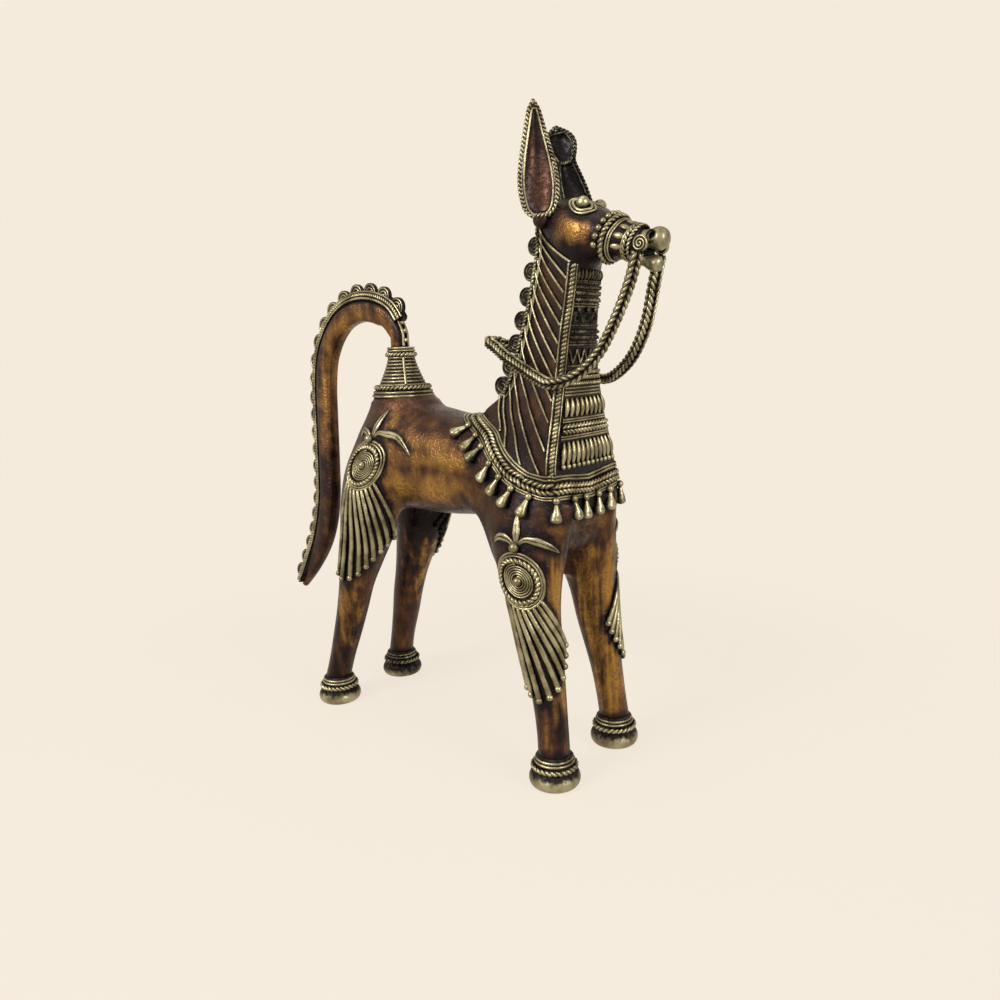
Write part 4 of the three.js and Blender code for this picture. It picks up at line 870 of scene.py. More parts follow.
# %% Measures of the leg ornaments
# height and turn place the medallion's centre, and bead is the height of the sprig's bead. hem has the
# height and turn of the foot of each ray, and leaves has steps forward and up from the bead. Where flat is
# set, the sprig lies on the flank.
DRESS = {
    "front": {
        "height": 98.5, "turn": 0.16, "bead": 113.8, "flat": False,
        "hem": ((46, -0.75), (43.8, -0.35), (42, 0.15), (44, 0.72), (47.5, 1.2), (52, 1.55), (56.5, 1.8),
                (61, 1.98), (65.5, 2.1)),
        "leaves": (((0, 0), (0.4, 7.4), (0.2, 15)),
                   ((0, 0), (-4.5, 3.4), (-9.6, 3.6), (-15, 0.4)),
                   ((0, 0), (4, 3.4), (9, 3.3), (16, 1.2), (24, -2.6))),
    },
    "rear": {
        "height": 143, "turn": 0.12, "bead": 156.6, "flat": True,
        "hem": ((80, -0.45), (77.5, -0.08), (79, 0.38), (82, 0.74), (86.5, 0.98), (91, 1.17), (95.5, 1.37),
                (99, 1.6), (102, 1.92)),
        "leaves": (((0, 0), (3.4, 7.5), (7.8, 15.4)),
                   ((0, 0), (-4, 3.6), (-8.5, 4.2), (-10.5, 1)),
                   ((0, 0), (5, 3.4), (10, 3.2), (19, 1.8), (25, -2.2), (29.5, -7))),
    },
}
print("rays on a leg:", [len(dress["hem"]) for dress in DRESS.values()])

# %% Medallion
PLATE_REACH = np.array([0.05, 2, 4, 6, 8, 10, 11.4, 11.8, 11.8, 8, 4, 0.05])  # over the top and back below
PLATE_RISE = np.array([0.5, 0.5, 0.5, 0.5, 0.6, 0.7, 0.7, 0.4, -0.6, -0.8, -0.8, -0.8])
SPIRAL_TURNS, SPIRAL_START, SPIRAL_SPAN = 5, 2.3, 5.6
ROPE_REACH, RIM_REACH = 9.65, 11.4


def bearing_on(leg, dress, reach, bearing):
    """Height and turn at a distance from the medallion's centre: bearing 0 is up, positive is forward."""
    height = dress["height"] + reach * np.cos(bearing)
    return height, dress["turn"] + reach * np.sin(bearing) / leg[0](height)[2]


def around(leg, dress, reach, bearing, rise=0.0):
    """A spot at a distance and bearing from the medallion's centre, raised from the skin."""
    at, out = spot_on_leg(leg, *bearing_on(leg, dress, reach, bearing))
    return at + out * np.asarray(rise)[..., None], out


def medallion(leg, dress):
    """A low dished plate, a rim wire, a rope ring, a spiral and a boss."""
    plate, _ = around(leg, dress, PLATE_REACH[:, None], turns(48), PLATE_RISE[:, None])
    coil = np.linspace(0, 1, 460)
    spiral = around(leg, dress, SPIRAL_START + SPIRAL_SPAN * coil, SPIRAL_TURNS * 2 * np.pi * coil, 0.5)
    boss, boss_out = around(leg, dress, 0.01, 0.0, 0.9)
    return together(
        net(plate[None], 0.1),
        thread(*spiral, 0.5, lift=0.3),
        rope(*around(leg, dress, ROPE_REACH, turns(120), 0.5), 2.7, 4.2, leg[1], loop=True),
        thread(*around(leg, dress, RIM_REACH, turns(120), 0.4), 0.62, loop=True),
        beads(boss, 2.3, boss_out),
    )


print("points of a medallion:", len(medallion(LEGS["front_right"], DRESS["front"])["points"]))

# %% Ray fan
WIRE_REACH, RAY_REACH = 12.75, 12.85  # from the medallion's centre
RAY_SPREAD = 0.85  # half of the angle in which the rays leave the medallion


def ray_fan(leg, dress):
    """A wire round the medallion and nine rays from its lower rim to a slanting hem, each with a bead."""
    t = np.linspace(0, 1, 46)
    root = np.pi + np.linspace(RAY_SPREAD, -RAY_SPREAD, len(dress["hem"]))[:, None]
    top, top_turn = bearing_on(leg, dress, RAY_REACH, root)
    hem, hem_turn = np.array(dress["hem"]).T[:, :, None]
    rays, rays_out = spot_on_leg(leg, top + (hem - top) * t, top_turn + (hem_turn - top_turn) * t)
    swell = np.interp(t, [0, 0.06, 0.5, 0.93, 1], [0.6, 0.8, 1.0, 1.05, 0.7])
    return together(
        thread(*around(leg, dress, WIRE_REACH, turns(90)), 0.75, loop=True),
        thread(rays, rays_out, 1.45, swell, lift=0.35),
        beads(rays[:, -2] + rays_out[:, -2] * 0.9, 1.7, rays_out[:, -2]),
    )


print("points of a fan:", len(ray_fan(LEGS["front_right"], DRESS["front"])["points"]))

# %% Sprig
LEAF = np.array([
    [-2.05, -0.4], [-1.75, 0.75], [-0.9, 1.35], [0, 0.85], [0.9, 1.35], [1.75, 0.75], [2.05, -0.4],
    [0, -0.7],
])
LEAF_RUB = np.array([0, 0.6, 1.1, 0.45, 1.1, 0.6, 0, 0])


def sprig_spot(leg, dress, run, rise):
    """A spot so far forward and up from the bead, seen from the side where the dress lies flat."""
    foot, turn = dress["bead"], dress["turn"]
    along, _, long, _ = leg[0](foot)
    if dress["flat"]:
        return spot_on_flank(leg[1], along + long * np.sin(turn) + run, foot + rise)
    return spot_on_leg(leg, foot + rise, turn + run / long)


def sprig(leg, dress):
    """A bead and three leaves: a leaf is a grooved lens that swells in its middle and ends in a point."""
    stops = np.linspace(0, 1, 44)
    size = np.interp(stops, [0, 0.15, 0.42, 0.7, 0.92, 1], [0.35, 0.6, 1.08, 0.9, 0.4, 0.12])[:, None, None]
    leaves = []
    for corners in dress["leaves"]:
        run, rise, _ = route([(*corner, 0) for corner in corners])(stops).T
        leaves.append(net(sweep(*stacked(*sprig_spot(leg, dress, run, rise)), LEAF * size), LEAF_RUB))
    bead, bead_out = sprig_spot(leg, dress, 0.0, 0.0)
    return together(*leaves, beads(bead + bead_out * 1.6, 2.5, bead_out))


print("points of a sprig:", len(sprig(LEGS["front_right"], DRESS["front"])["points"]))

# %% Leg ornaments
for name, leg in LEGS.items():
    dress = DRESS[name.split("_")[0]]
    set_on("medallion_" + name, medallion(leg, dress))
    fan = ray_fan(leg, dress)
    if name == SHADED_LEG:  # painted shade: the front edge of its fan, which lies further in, is darkened
        fan["rub"] = fan["rub"] * np.interp(fan["points"][:, 1], [21.5, 27], [0.1, 1])
    set_on("ray_fan_" + name, fan)
    set_on("sprig_" + name, sprig(leg, dress))

# %% [markdown]
# ## Tail
# The tail is a squarish rod that bends over in an arch. Its outer edge carries a roof-shaped strip with a
# rope between two lines on each slope, and a row of scallops with rings like cut shells. The socket that it
# stands in is a ringed bell with a rope at the top and one at the foot.

# %% Line of the tail
TAIL_LINE = [
    [-30.8, 0, 204.4], [-31.6, 0, 213], [-41, 0, 225.4], [-60, 0, 230.8], [-78, -0.4, 227.6],
    [-91, -1, 217.8], [-99.6, -2, 203], [-102, -3.4, 186], [-101.5, -5, 163], [-100.3, -7, 136],
    [-100.6, -8.2, 117], [-104.8, -9.6, 97], [-112.4, -11, 79], [-121.1, -13, 61],
]
tail_route = route(TAIL_LINE)
tail_length = run_of(tail_route(np.linspace(0, 1, 400)))[-1]


def along_tail(share):
    """Places on the outer line of the tail, with the directions across and out."""
    share = np.asarray(share, float)
    along = norm(tail_route(np.minimum(share + 0.004, 1)) - tail_route(np.maximum(share - 0.004, 0)))
    out = norm(np.cross([0.0, 1.0, 0.0], along))
    return tail_route(share), np.cross(along, out), out


print("tail:", round(tail_length), "mm along its outer line")

# %% Tail
TAIL_DEPTH, TAIL_WIDTH, TAIL_TIP = 12.2, 10.0, 3.2
TAIL_TAPER, TAIL_ROOT = 0.78, 0.74  # the share of its length where it tapers, and its size at the root
TAIL_ROWS, TAIL_SIDES = 220, 28


def squarish(value):
    """A sine or cosine pushed outwards, so that a circle turns into a rounded square."""
    return (np.sign(value) * np.abs(value) ** (2 / 3))[:, None]


share = np.linspace(0, 1, TAIL_ROWS)
at, across, out = along_tail(share)
taper = np.clip((share - TAIL_TAPER) / (1 - TAIL_TAPER), 0, 1)[:, None, None] ** 2
full = np.interp(share, [0, 0.03, 0.12], [TAIL_ROOT, TAIL_ROOT, 1])[:, None, None]
depth, width = (size * full + (TAIL_TIP - size) * taper for size in (TAIL_DEPTH, TAIL_WIDTH))
angle = turns(TAIL_SIDES)
rod = at[:, None] + across[:, None] * squarish(np.cos(angle)) * width / 2
rod = rod + out[:, None] * (squarish(np.sin(angle)) - 1) * depth / 2
rod[0, :, 2] = TAIL_LINE[0][2] - 1.5
tail_shape = net(rod[None])
tail_height = tail_shape["points"][:, 2]
# painted shade under the crest and along two opposite corners
under_crest = np.clip(1.15 - (1 - np.sin(angle)) * 2.0, 0, 1)
corners = 0.55 * np.clip(np.abs(np.cos(angle + 0.6)) * 3 - 2.2, 0, 1)
show("tail", tail_shape, patina, {
    "gilt": 0.42 + 0.14 * np.clip((tail_height - 165) / 50, -1, 1),
    "painted_shade": np.concatenate([np.tile((under_crest + corners) * 0.65, TAIL_ROWS), [0, 0]]),
    "streaky": np.full(len(tail_height), 0.35),
})

# %% Ringed discs
def ringed_disc(middles, across, along, out, radius, half, rings, twist=0.0):
    """Flat discs with raised rings on both faces.

    A ring's height follows a cosine of the distance from the middle, and a twist of 1 winds the rings into
    a spiral. The last row of a face is its lower edge.
    """
    turn = turns(32)
    reach = np.concatenate([np.linspace(0.03, 0.93, 26), [1.0]])[:, None]
    wave = 0.5 + 0.5 * np.cos(2 * np.pi * rings * reach - twist * turn + np.pi)
    height = 0.88 * half - np.where(reach < 0.95, 0.42 * (1 - wave), 0.25 * half)
    both = lambda face, sign=1: np.concatenate([face, sign * face[::-1]])[..., None]
    spokes = np.cos(turn)[:, None] * along[:, None] + np.sin(turn)[:, None] * out[:, None]
    points = both(reach) * radius * spokes[:, None] + both(height, -1) * across[:, None, None]
    return net(middles[:, None, None] + points, np.clip(both(wave)[..., 0] * 1.1, 0, 1))


one_disc = ringed_disc(*np.array([[[0, 0, 0]], [[0, 1, 0]], [[1, 0, 0]], [[0, 0, 1]]], float), 5.0, 1.5, 3)
print("height of a ringed disc over its middle:", round(one_disc["points"][:, 1].max(), 2), "mm")

# %% Tail crest
CREST_FOOT, CREST_EDGE, CREST_HEIGHT = 3.2, 1.5, 4.4
CREST_START, CREST_END = 0.058, 0.995  # shares of the tail's length
SCALLOP_PITCH, SCALLOP_RADIUS, SCALLOP_HALF, SCALLOP_RINGS = 10.3, 5.1, 1.5, 3
SCALLOPS_START, SCALLOPS_SPAN = 0.062, 0.93
ROOF = np.array([
    [-CREST_FOOT, -0.4], [CREST_FOOT, -0.4], [CREST_EDGE, CREST_HEIGHT], [-CREST_EDGE, CREST_HEIGHT],
])
SLOPE_LINES = ((3.25, 0.5, 0.75), (1.75, 4.1, 0.6))  # how far aside and up, and the radius
at, across, out = along_tail(np.linspace(CREST_START, CREST_END, 300))
crest = [net((at[:, None] + across[:, None] * ROOF[:, :1] + out[:, None] * ROOF[:, 1:])[None], 0.15)]
for way in (-1, 1):
    slope = norm(across * way * 0.93 + out * 0.36)
    for aside, rise, wire in SLOPE_LINES:
        crest.append(thread(at + across * way * aside + out * rise, slope, wire))
    crest.append(rope(at + across * way * 2.35 + out * 2.4, slope, 2.0, 3.4, way))

scallops = round(SCALLOPS_SPAN * tail_length / SCALLOP_PITCH)
at, across, out = along_tail(SCALLOPS_START + SCALLOPS_SPAN * (np.arange(scallops) + 0.5) / scallops)
scallop_middles = at + out * (CREST_HEIGHT - 0.6)
crest.append(ringed_disc(scallop_middles, across, np.cross(out, across), out,
                         SCALLOP_RADIUS, SCALLOP_HALF, SCALLOP_RINGS))

# two lines and three knots lead from the socket up to the strip
at, across, out = along_tail(np.linspace(0.0, SCALLOPS_START, 30))
for way in (-1, 1):
    crest.append(thread(at + across * way * 1.5 + out * 0.2, norm(out + across * way * 0.4), 0.8))
crest.append(beads((at + out)[[6, 15, 24]], 1.5, out[[6, 15, 24]]))
set_on("tail_crest", *crest)
print(scallops, "scallops")

# %% Tail socket
SOCKET_FOOT, SOCKET_TOP = 177.4, 204.1
# radius and height
SOCKET_CONE = np.array([[12.4, 184.4], [11.2, 187], [9.9, 190], [8.5, 193.5], [7.5, 196.5], [7.1, 198.6]])
SOCKET_RINGS, RING_RISE = 8, 0.45
SOCKET_WIRES = (  # radius, height, thickness and number of points
    (15.9, 178.5, 0.75, 96), (15.4, 180.4, 0.65, 96), (6.9, 202.2, 0.6, 72), (6.7, 203.6, 0.6, 72),
)
SEAM_TURN = np.radians(-36)
height = np.linspace(SOCKET_CONE[0, 1], SOCKET_CONE[-1, 1], 90)
cone = np.interp(height, SOCKET_CONE[:, 1], SOCKET_CONE[:, 0])
ripple = 0.5 + 0.5 * np.cos(2 * np.pi * SOCKET_RINGS * (height - height[0]) / np.ptp(height))
profile = np.concatenate([
    [[0.02, SOCKET_FOOT - 0.8], [15.9, SOCKET_FOOT - 0.8], [16.1, 180.6], [14.8, 181.4], [13.2, 183.6]],
    np.column_stack([cone + RING_RISE * ripple, height]),
    [[7.0, 199.2], [6.9, 201.6], [6.8, SOCKET_TOP], [0.02, SOCKET_TOP]],
])
rub = np.concatenate([[0, 0.1, 0.3, 0.1, 0.2], 0.1 + 0.85 * ripple, [0.2, 0.1, 0.4, 0.2]])
foot = [CROUP[-1][1], 0, 0]
seam_out = xyz(np.cos(SEAM_TURN), np.sin(SEAM_TURN), 0.4)
seam = xyz(foot[0] + (cone + 0.4) * seam_out[0], (cone + 0.4) * seam_out[1], height)
set_on(
    "tail_socket",
    turned(profile, foot, UPRIGHT, rub, 72),
    rope(*ring_about(foot, UPRIGHT, 13.6, 182.8, 120), 2.7, 4.4, loop=True),
    rope(*ring_about(foot, UPRIGHT, 7.0, 200.2, 90), 2.3, 3.8, loop=True),
    *(hoop(foot, UPRIGHT, radius, up, wire, count) for radius, up, wire, count in SOCKET_WIRES),
    thread(seam, seam_out, 0.7),
)

# %% [markdown]
# ## Ears
# An ear is a cupped leaf. Its width follows a table from foot to tip, and its hollow is deepest in the
# middle. A rope runs round the outside of its edge, and a plain thread lies just inside it. A ball behind
# its foot joins it to the head.

# %% Shape of an ear
EAR_CUP, EAR_WALL, EAR_RIM, EAR_ROOT = 3.0, 1.7, 1.1, 4.0
EARS = {  # foot, tip, the way the hollow faces at the foot and at the tip, half widths from foot to tip
    "right": (
        (71.6, -12.6, 256.6), (69.8, -13, 302.6), (0.5, -0.87, 0), (0.76, -0.65, 0),
        [[0, 1.2], [0.04, 3.8], [0.1, 5.8], [0.28, 7.1], [0.5, 6.0], [0.75, 3.4], [0.93, 1.4], [1, 0.4]]),
    "left": (
        (78.2, 9.2, 258.4), (64, 10.6, 297.2), (0.9, -0.2, 0), (0.72, -0.69, 0),
        [[0, 8.4], [0.12, 8.8], [0.3, 7.0], [0.5, 4.6], [0.64, 3.5], [0.75, 5.2], [0.86, 5.8], [0.95, 4.0],
         [1, 1.4]]),
}


def ear_spot(ear, share, u, back, beyond=0.0):
    """A place on the leaf: share from foot to tip, u from edge to edge, and so far behind the inner face."""
    foot, tip, low_facing, high_facing = np.array(ear[:4], float)
    share, u, back = (value[..., None] for value in np.broadcast_arrays(share, u, back))
    front = norm(low_facing + (high_facing - low_facing) * np.clip(share * 1.6 - 0.3, 0, 1))
    wide = norm(np.cross(front, norm(tip - foot)))
    half = through(ear[4])(share)[0]
    hollow = EAR_CUP * np.clip(half / 5, 0, 1) * (1 - u * u)
    return foot + (tip - foot) * share + wide * (half + beyond) * u - front * (hollow + back), front


def up_and_down(ear, reach, back, beyond, crown):
    """A line up one edge of an ear, over places at its tip and down the other edge."""
    stops = np.linspace(0.02, 0.96, 60)
    one, two = (ear_spot(ear, stops, way, back, beyond) for way in (-reach, reach))
    return [np.concatenate([up, *top, down[::-1]]) for up, top, down in zip(one, crown, two)]


def ear_leaf(ear):
    """The cupped leaf, inner face and back in one ring of columns, and the ball behind its foot."""
    rows, u = np.linspace(0, 1, 50)[:, None], np.linspace(-1, 1, 15)
    faces = [ear_spot(ear, rows, u, 0.0)[0], ear_spot(ear, rows, u[::-1], EAR_WALL)[0]]
    root = np.array(ear[0]) - norm(np.array(ear[2])) * 4.4 - [0, 0, 0.4]
    return together(net(np.concatenate(faces, 1)[None]), beads([root], EAR_ROOT))


print("height of the ears:", [round(tip[2] - foot[2], 1) for foot, tip, *_ in EARS.values()])

# %% Ears
for side, ear in EARS.items():
    near = side == "right"
    leaf = ear_leaf(ear)
    every = np.ones(len(leaf["points"]))
    # painted light: lit is a painted highlight across the middle of the near ear, and painted shade covers
    # both cupped leaves, stronger on the far ear
    lit = 0.3 * near * np.clip(1 - np.abs(leaf["points"][:, 2] - 268) / 12, 0, 1)
    paint = {"gilt": lit, "painted_shade": every * (0.4 if near else 0.85), "streaky": every * 0.5}
    show("ear_" + side, leaf, patina, paint)
    crown, crown_up = ear_spot(ear, np.array([1.0]), 0.0, EAR_WALL / 2)
    rim = up_and_down(ear, 1.0, EAR_WALL / 2, EAR_RIM, ([crown + [0, 0, EAR_RIM + 0.6]], [crown_up]))
    wires = [thread(*up_and_down(ear, 0.88, -0.1, 0.0, ([], [])), 0.5)]
    if not near:  # a second rope crosses the waist of the left ear
        wires.append(rope(*ear_spot(ear, 0.62, np.linspace(-1, 1, 20), -0.3), 1.8, 3.2))
    edge = rope(*rim, 1.9, 3.5, lift=0.0, loop=near, free=True)
    # the far ear's rim is dimmed as painted shade
    set_on("ear_rim_" + side, edge, *wires, rub=0.9 if near else 0.6)

# %% [markdown]
# ## Face
# The eye is a ball in a raised almond. Beads, a rope and two lines make the noseband. Petals run from it to
# the braided ring of the muzzle, and two rosettes in front of that hold the reins. The nose is a ball with
# two drilled nostrils. The mouth is the gap above a small bulb, and a dark tongue closes its back.

# %% Eyes
EYE_X, EYE_TURN, EYE_RADIUS = 89.3, 0.52, 3.0
EYE_RINGS = ((4.4, 0.28, 0.75), (6.0, 0.4, 0.6))  # half of the length and of the turn, and the wire
turn = turns(60)
sway = np.sin(turn) * np.abs(np.sin(turn)) ** 0.3
for side, way in SIDES.items():
    centre, centre_out = spot_on_head(EYE_X, way * EYE_TURN)
    shape = [beads(centre + centre_out * 0.9, EYE_RADIUS, centre_out)]
    for long, tall, wire in EYE_RINGS:
        ring = spot_on_head(EYE_X + long * np.cos(turn), way * (EYE_TURN + 0.03 - tall * sway))
        shape.append(thread(*ring, wire, loop=True))
    set_on("eye_" + side, *shape)

# %% Bridle
BAND_TILT, BAND_END = 0.4, 2.0  # how far the bands lean, and the turn at which beads and petals end
BEADS_X, ROPE_X, LINES_X, PETALS_X, BRAID_X = 98.6, 101.4, (103.3, 104.4, 109.8), 105.4, 111.8
PETAL = np.array([[-1.5, -0.3], [-1.2, 0.5], [-0.5, 0.95], [0.5, 0.95], [1.2, 0.5], [1.5, -0.3], [0, -0.6]])
PETAL_LENGTH = 4.6


def head_ring(x, turn=turns(120)):
    """A ring of spots round the head: its top lies further forward than its foot."""
    return spot_on_head(x + BAND_TILT * head_at(x)[1] * np.cos(turn), turn)


bead_at, bead_out = head_ring(BEADS_X, np.linspace(-BAND_END, BAND_END, 13))
lines = [thread(*head_ring(x), 0.5, loop=True) for x in LINES_X]
set_on("noseband_beads", beads(bead_at + bead_out * 0.6, 1.5, bead_out))
set_on("noseband_rope", rope(*head_ring(ROPE_X), 2.6, 4.2, -1, loop=True), *lines[:2])

petal_turn, t = np.linspace(-BAND_END, BAND_END, 8)[:, None], np.linspace(0, 1, 24)
petal_start = PETALS_X + BAND_TILT * head_at(PETALS_X + 0.6)[1] * np.cos(petal_turn)
petals, petals_out = spot_on_head(petal_start + PETAL_LENGTH * t, petal_turn)
petal_size = (0.15 + 0.85 * np.sin(np.pi * (0.12 + 0.84 * t)) ** 0.8)[:, None, None]
set_on(
    "muzzle_ring",
    net(sweep(petals, petals_out, PETAL * petal_size), np.clip(PETAL[:, 1] + 0.2, 0, 1)),
    braid(*head_ring(BRAID_X), 3.6, 3.6, loop=True),
    lines[2],
)

# %% Nose
NOSE_FOOT = np.array([114.6, 0, 243.1])
NOSE = [  # radius and length
    [0.02, 0], [3.4, 0], [4.3, 0.8], [4.1, 3.0], [4.1, 4.6], [4.75, 7.2], [4.5, 9.3], [3.1, 11.4],
    [0.02, 12.3],
]
NOSTRIL_RADIUS, NOSTRIL_DEPTH = 1.75, 2.2
nose = turned(rounded_profile(NOSE, 80), NOSE_FOOT, [1, 0, 0], 0.85, 96)
rims = []
for way in (-1, 1):
    hole = NOSE_FOOT + [6.4, way * 4.35, 1.3]
    inside = np.clip((NOSTRIL_RADIUS - np.linalg.norm(nose["points"] - hole, axis=1)) / 0.6, 0, 1)
    nose["points"] = nose["points"] - inside[:, None] * [0, way * NOSTRIL_DEPTH, 0.3]
    nose["rub"] = nose["rub"] * (1 - inside)
    rims.append(hoop(hole * [1, 0.985, 1], [0, way, 0.3], 1.95, 0.0, 0.42, 40))
set_on("nose", nose, *rims)

# %% Lip
LIP = [[0.02, 0], [2.2, 0], [2.5, 2.4], [3.3, 6], [2.8, 9], [0.02, 10.4]]
LIP_FALL = 0.36
TONGUE = [[0.02, 0], [2.6, 0], [2.8, 3], [2.2, 6], [0.02, 7.4]]
set_on(
    "lower_lip",
    turned(rounded_profile(LIP, 40), [114, 0, 235.8], [np.cos(LIP_FALL), 0, -np.sin(LIP_FALL)], 0.8, 40),
    turned(rounded_profile(TONGUE, 30), [113, 0, 238.6], [1, 0, -0.1], 0.0, 24),
)

# %% Bit rosettes
ROSETTE_PLACE = np.array([118.6, 8.7, 241.0])
STUD_START, STUD_LENGTH = 4.3, 3.6
for side, way in SIDES.items():
    middle, sideways, forward, up = (np.array([row], float) for row in (
        ROSETTE_PLACE * [1, way, 1], [0, way, 0], [1, 0, 0], [0, 0, 1]))
    stud = [[0.02, 0], [1.3, 0], [1.3, STUD_LENGTH], [0.02, STUD_LENGTH]]
    stud_foot = [ROSETTE_PLACE[0], way * STUD_START, ROSETTE_PLACE[2]]
    set_on(
        "bit_rosette_" + side,
        ringed_disc(middle, sideways, forward, up, 3.3, 1.2, 2.5, way),
        turned(stud, stud_foot, [0, way, 0], 0.2, 16),
    )

# %% [markdown]
# ## Reins
# The reins are one stiff braid that was bent in the wax, so they keep their curve in the air. The left half
# of the route is written down. The right half is its mirror image, apart from five rows beside the breast,
# where it hangs on a line of its own. Four ropes make the braid, two on each face, round a dark core.

# %% Reins
REIN_LEFT = np.array([
    [117.6, 9.2, 237.5], [114.4, 9.6, 225], [109.8, 11.4, 210], [101.2, 14.6, 196.6], [89.6, 18.8, 188],
    [80.4, 21.4, 185.6], [71.5, 18.4, 188.2], [59, 13.6, 192.6], [46.5, 9.6, 197.8], [38.4, 6.2, 201.8],
    [32.6, 4.2, 204.4], [30.2, 0, 205.2],
])
REIN_RIGHT = REIN_LEFT * [1, -1, 1]
REIN_RIGHT[1:6] = [
    [113.8, -9.6, 225], [108, -11.6, 210.4], [101.8, -15.4, 197.2], [93.6, -19.8, 188.6],
    [82.4, -22.4, 185.6],
]
REIN_CENTRE = [72, 25, 200]  # the flat of the braid looks away from here
REIN_ROPE, REIN_PITCH, REIN_LIFT, REIN_SHIFT = 2.55, 5.4, 0.42, 1.2
rein = route(np.concatenate([REIN_RIGHT[:-1], REIN_LEFT[::-1]]))(np.linspace(0, 1, 360))
along = norm(np.gradient(rein, axis=0))
outward = norm(np.cross(np.cross(along, rein - REIN_CENTRE), along))
strands = []
for hand in (1, -1):
    for face in (1, -1):
        lift, aside = face * REIN_LIFT, -hand * face * REIN_SHIFT
        strands.append(rope(rein, outward, REIN_ROPE, REIN_PITCH, hand, lift, shift=aside, free=True))
set_on("reins", *strands, dimmed(thread(rein, outward, 1.0, lift=0.0), 0.0))

# %% [markdown]
# ## Neck
# Down each edge of the mane runs a rope between two lines, with a row of spiral scrolls behind it. From
# there threads fan out over the side of the neck to a second rope on the corner of the breast.

# %% Mane
MANE_TOP, MANE_FOOT = 254.0, 178.0
CORD_SHARE, LINE_SHARES = 0.075, (0.015, 0.135)  # from the ridge to the corner of the breast
SCROLLS, SCROLL_RADIUS, SCROLL_GROWTH, SCROLL_HALF = 7, 4.3, 0.1, 1.8
SCROLLS_START, SCROLLS_SPAN = 0.1, 0.84  # shares of the ridge's length
height = np.linspace(MANE_TOP, MANE_FOOT, 90)
ridge = xyz(neck_at(height)[0], 0.0, height)
ridge_run = run_of(ridge)


def on_ridge(stop):
    """The place so many millimetres down the ridge of the mane."""
    return np.array([np.interp(stop, ridge_run, column) for column in ridge.T])


for side, way in SIDES.items():
    lines = [thread(*spot_on_neck(way, height, share), 0.5) for share in LINE_SHARES]
    set_on("mane_cord_" + side, rope(*spot_on_neck(way, height, CORD_SHARE), 2.4, 3.6, way), *lines, rub=0.8)
for number in range(SCROLLS):
    stop = ridge_run[-1] * (SCROLLS_START + SCROLLS_SPAN * number / (SCROLLS - 1))
    fall = norm(on_ridge(stop + 1) - on_ridge(stop))
    sideways = np.array([0.0, 1.0, 0.0])
    back = np.cross(sideways, fall)
    middle = on_ridge(stop) + back * 2.5
    radius = SCROLL_RADIUS + SCROLL_GROWTH * number
    scroll = ringed_disc(middle[None], sideways[None], fall[None], back[None], radius, SCROLL_HALF, 3, 1.0)
    set_on(f"mane_scroll_{number + 1}", scroll, rub=0.58)

# %% Side threads and corner cords
# each thread leaves the mane along it and bends towards the corner or the collar: along the horse and up
THREAD_STARTS = np.array([
    (67, 254), (65.4, 251.4), (64.6, 246.9), (63.4, 241.8), (62.2, 236.4), (60.8, 230.9), (59.3, 224.6),
    (57.5, 218.3), (55.5, 211.5), (53.4, 205), (51.2, 198.6), (48.6, 192.4), (45.4, 187), (41.4, 182.6),
    (38.2, 179.4),
])
THREAD_ENDS = np.array([
    (86.2, 236.6), (83.8, 230), (82.4, 224), (81.4, 217), (80.8, 210.2), (80.2, 202.2), (79.6, 194),
    (79.3, 185.8), (79, 177.4), (79, 168), (79.4, 155.8), (77.2, 145.8), (65.8, 149), (53.6, 156),
    (45.4, 162.6),
])
MANE_FALL = np.array([-0.27, -0.96])
STEM_SHARE, STEM_TOP, STEM_FOOT = 0.165, 252, 181
CORD_TOP, CORD_FOOT, CORD_LINES = 236, 146, (-1.9, 1.9)
LEFT_CORD_BACK = 2.8  # the left cord lies behind the corner, on the side of the neck
t = np.linspace(0, 1, 60)[None, :, None]
reach = np.linalg.norm(THREAD_ENDS - THREAD_STARTS, axis=1)[:, None]
bend = THREAD_STARTS + reach * 0.2 * norm(MANE_FALL)
slant = THREAD_STARTS[:, None] * (1 - t) ** 2 + bend[:, None] * 2 * t * (1 - t) + THREAD_ENDS[:, None] * t**2
stem_height, cord_height = np.linspace(STEM_TOP, STEM_FOOT, 90), np.linspace(CORD_TOP, CORD_FOOT, 120)
for side, way in SIDES.items():
    slants = thread(*spot_on_flank(way, slant[..., 0], slant[..., 1]), 0.66, lift=0.6)
    stem = thread(*spot_on_neck(way, stem_height, STEM_SHARE), 0.55)
    set_on("neck_threads_" + side, slants, stem, rub=0.9)
    if side == "right":
        corner, out = spot_on_corner(way, cord_height)
    else:
        corner, out = spot_on_flank(way, neck_at(cord_height)[1] - LEFT_CORD_BACK, cord_height)
    _, across, _ = frames(corner[None], out[None])
    lines = [thread(corner + across[0] * shift - out * 0.7, out, 0.55) for shift in CORD_LINES]
    set_on("corner_cord_" + side, rope(corner, out, 2.7, 3.7, way), *lines, rub=0.85)

# %% [markdown]
# ## Breast
# The breast is worked in rows between the corner cords: a fringe, ropes and lines at the throat, three
# rings, more ropes, a zigzag, and lower down two rows of upright rods with a braid between them. Polish
# reached the upper rows less than the lower ones. Rows are given by their heights.

# %% Rows across the breast
across_breast = np.linspace(-0.8, 0.87, 54)


def breast_row(height):
    """A level line of spots across the breast."""
    return spot_on_breast(height, across_breast)


def breast_ropes(heights, width=1.9, pitch=3.2):
    """Ropes one above the other, twisted by turns to either hand."""
    return [rope(*breast_row(h), width, pitch, 1 - 2 * (i % 2)) for i, h in enumerate(heights)]


def breast_lines(*heights):
    """Plain level threads."""
    return [thread(*breast_row(h), 0.5) for h in heights]


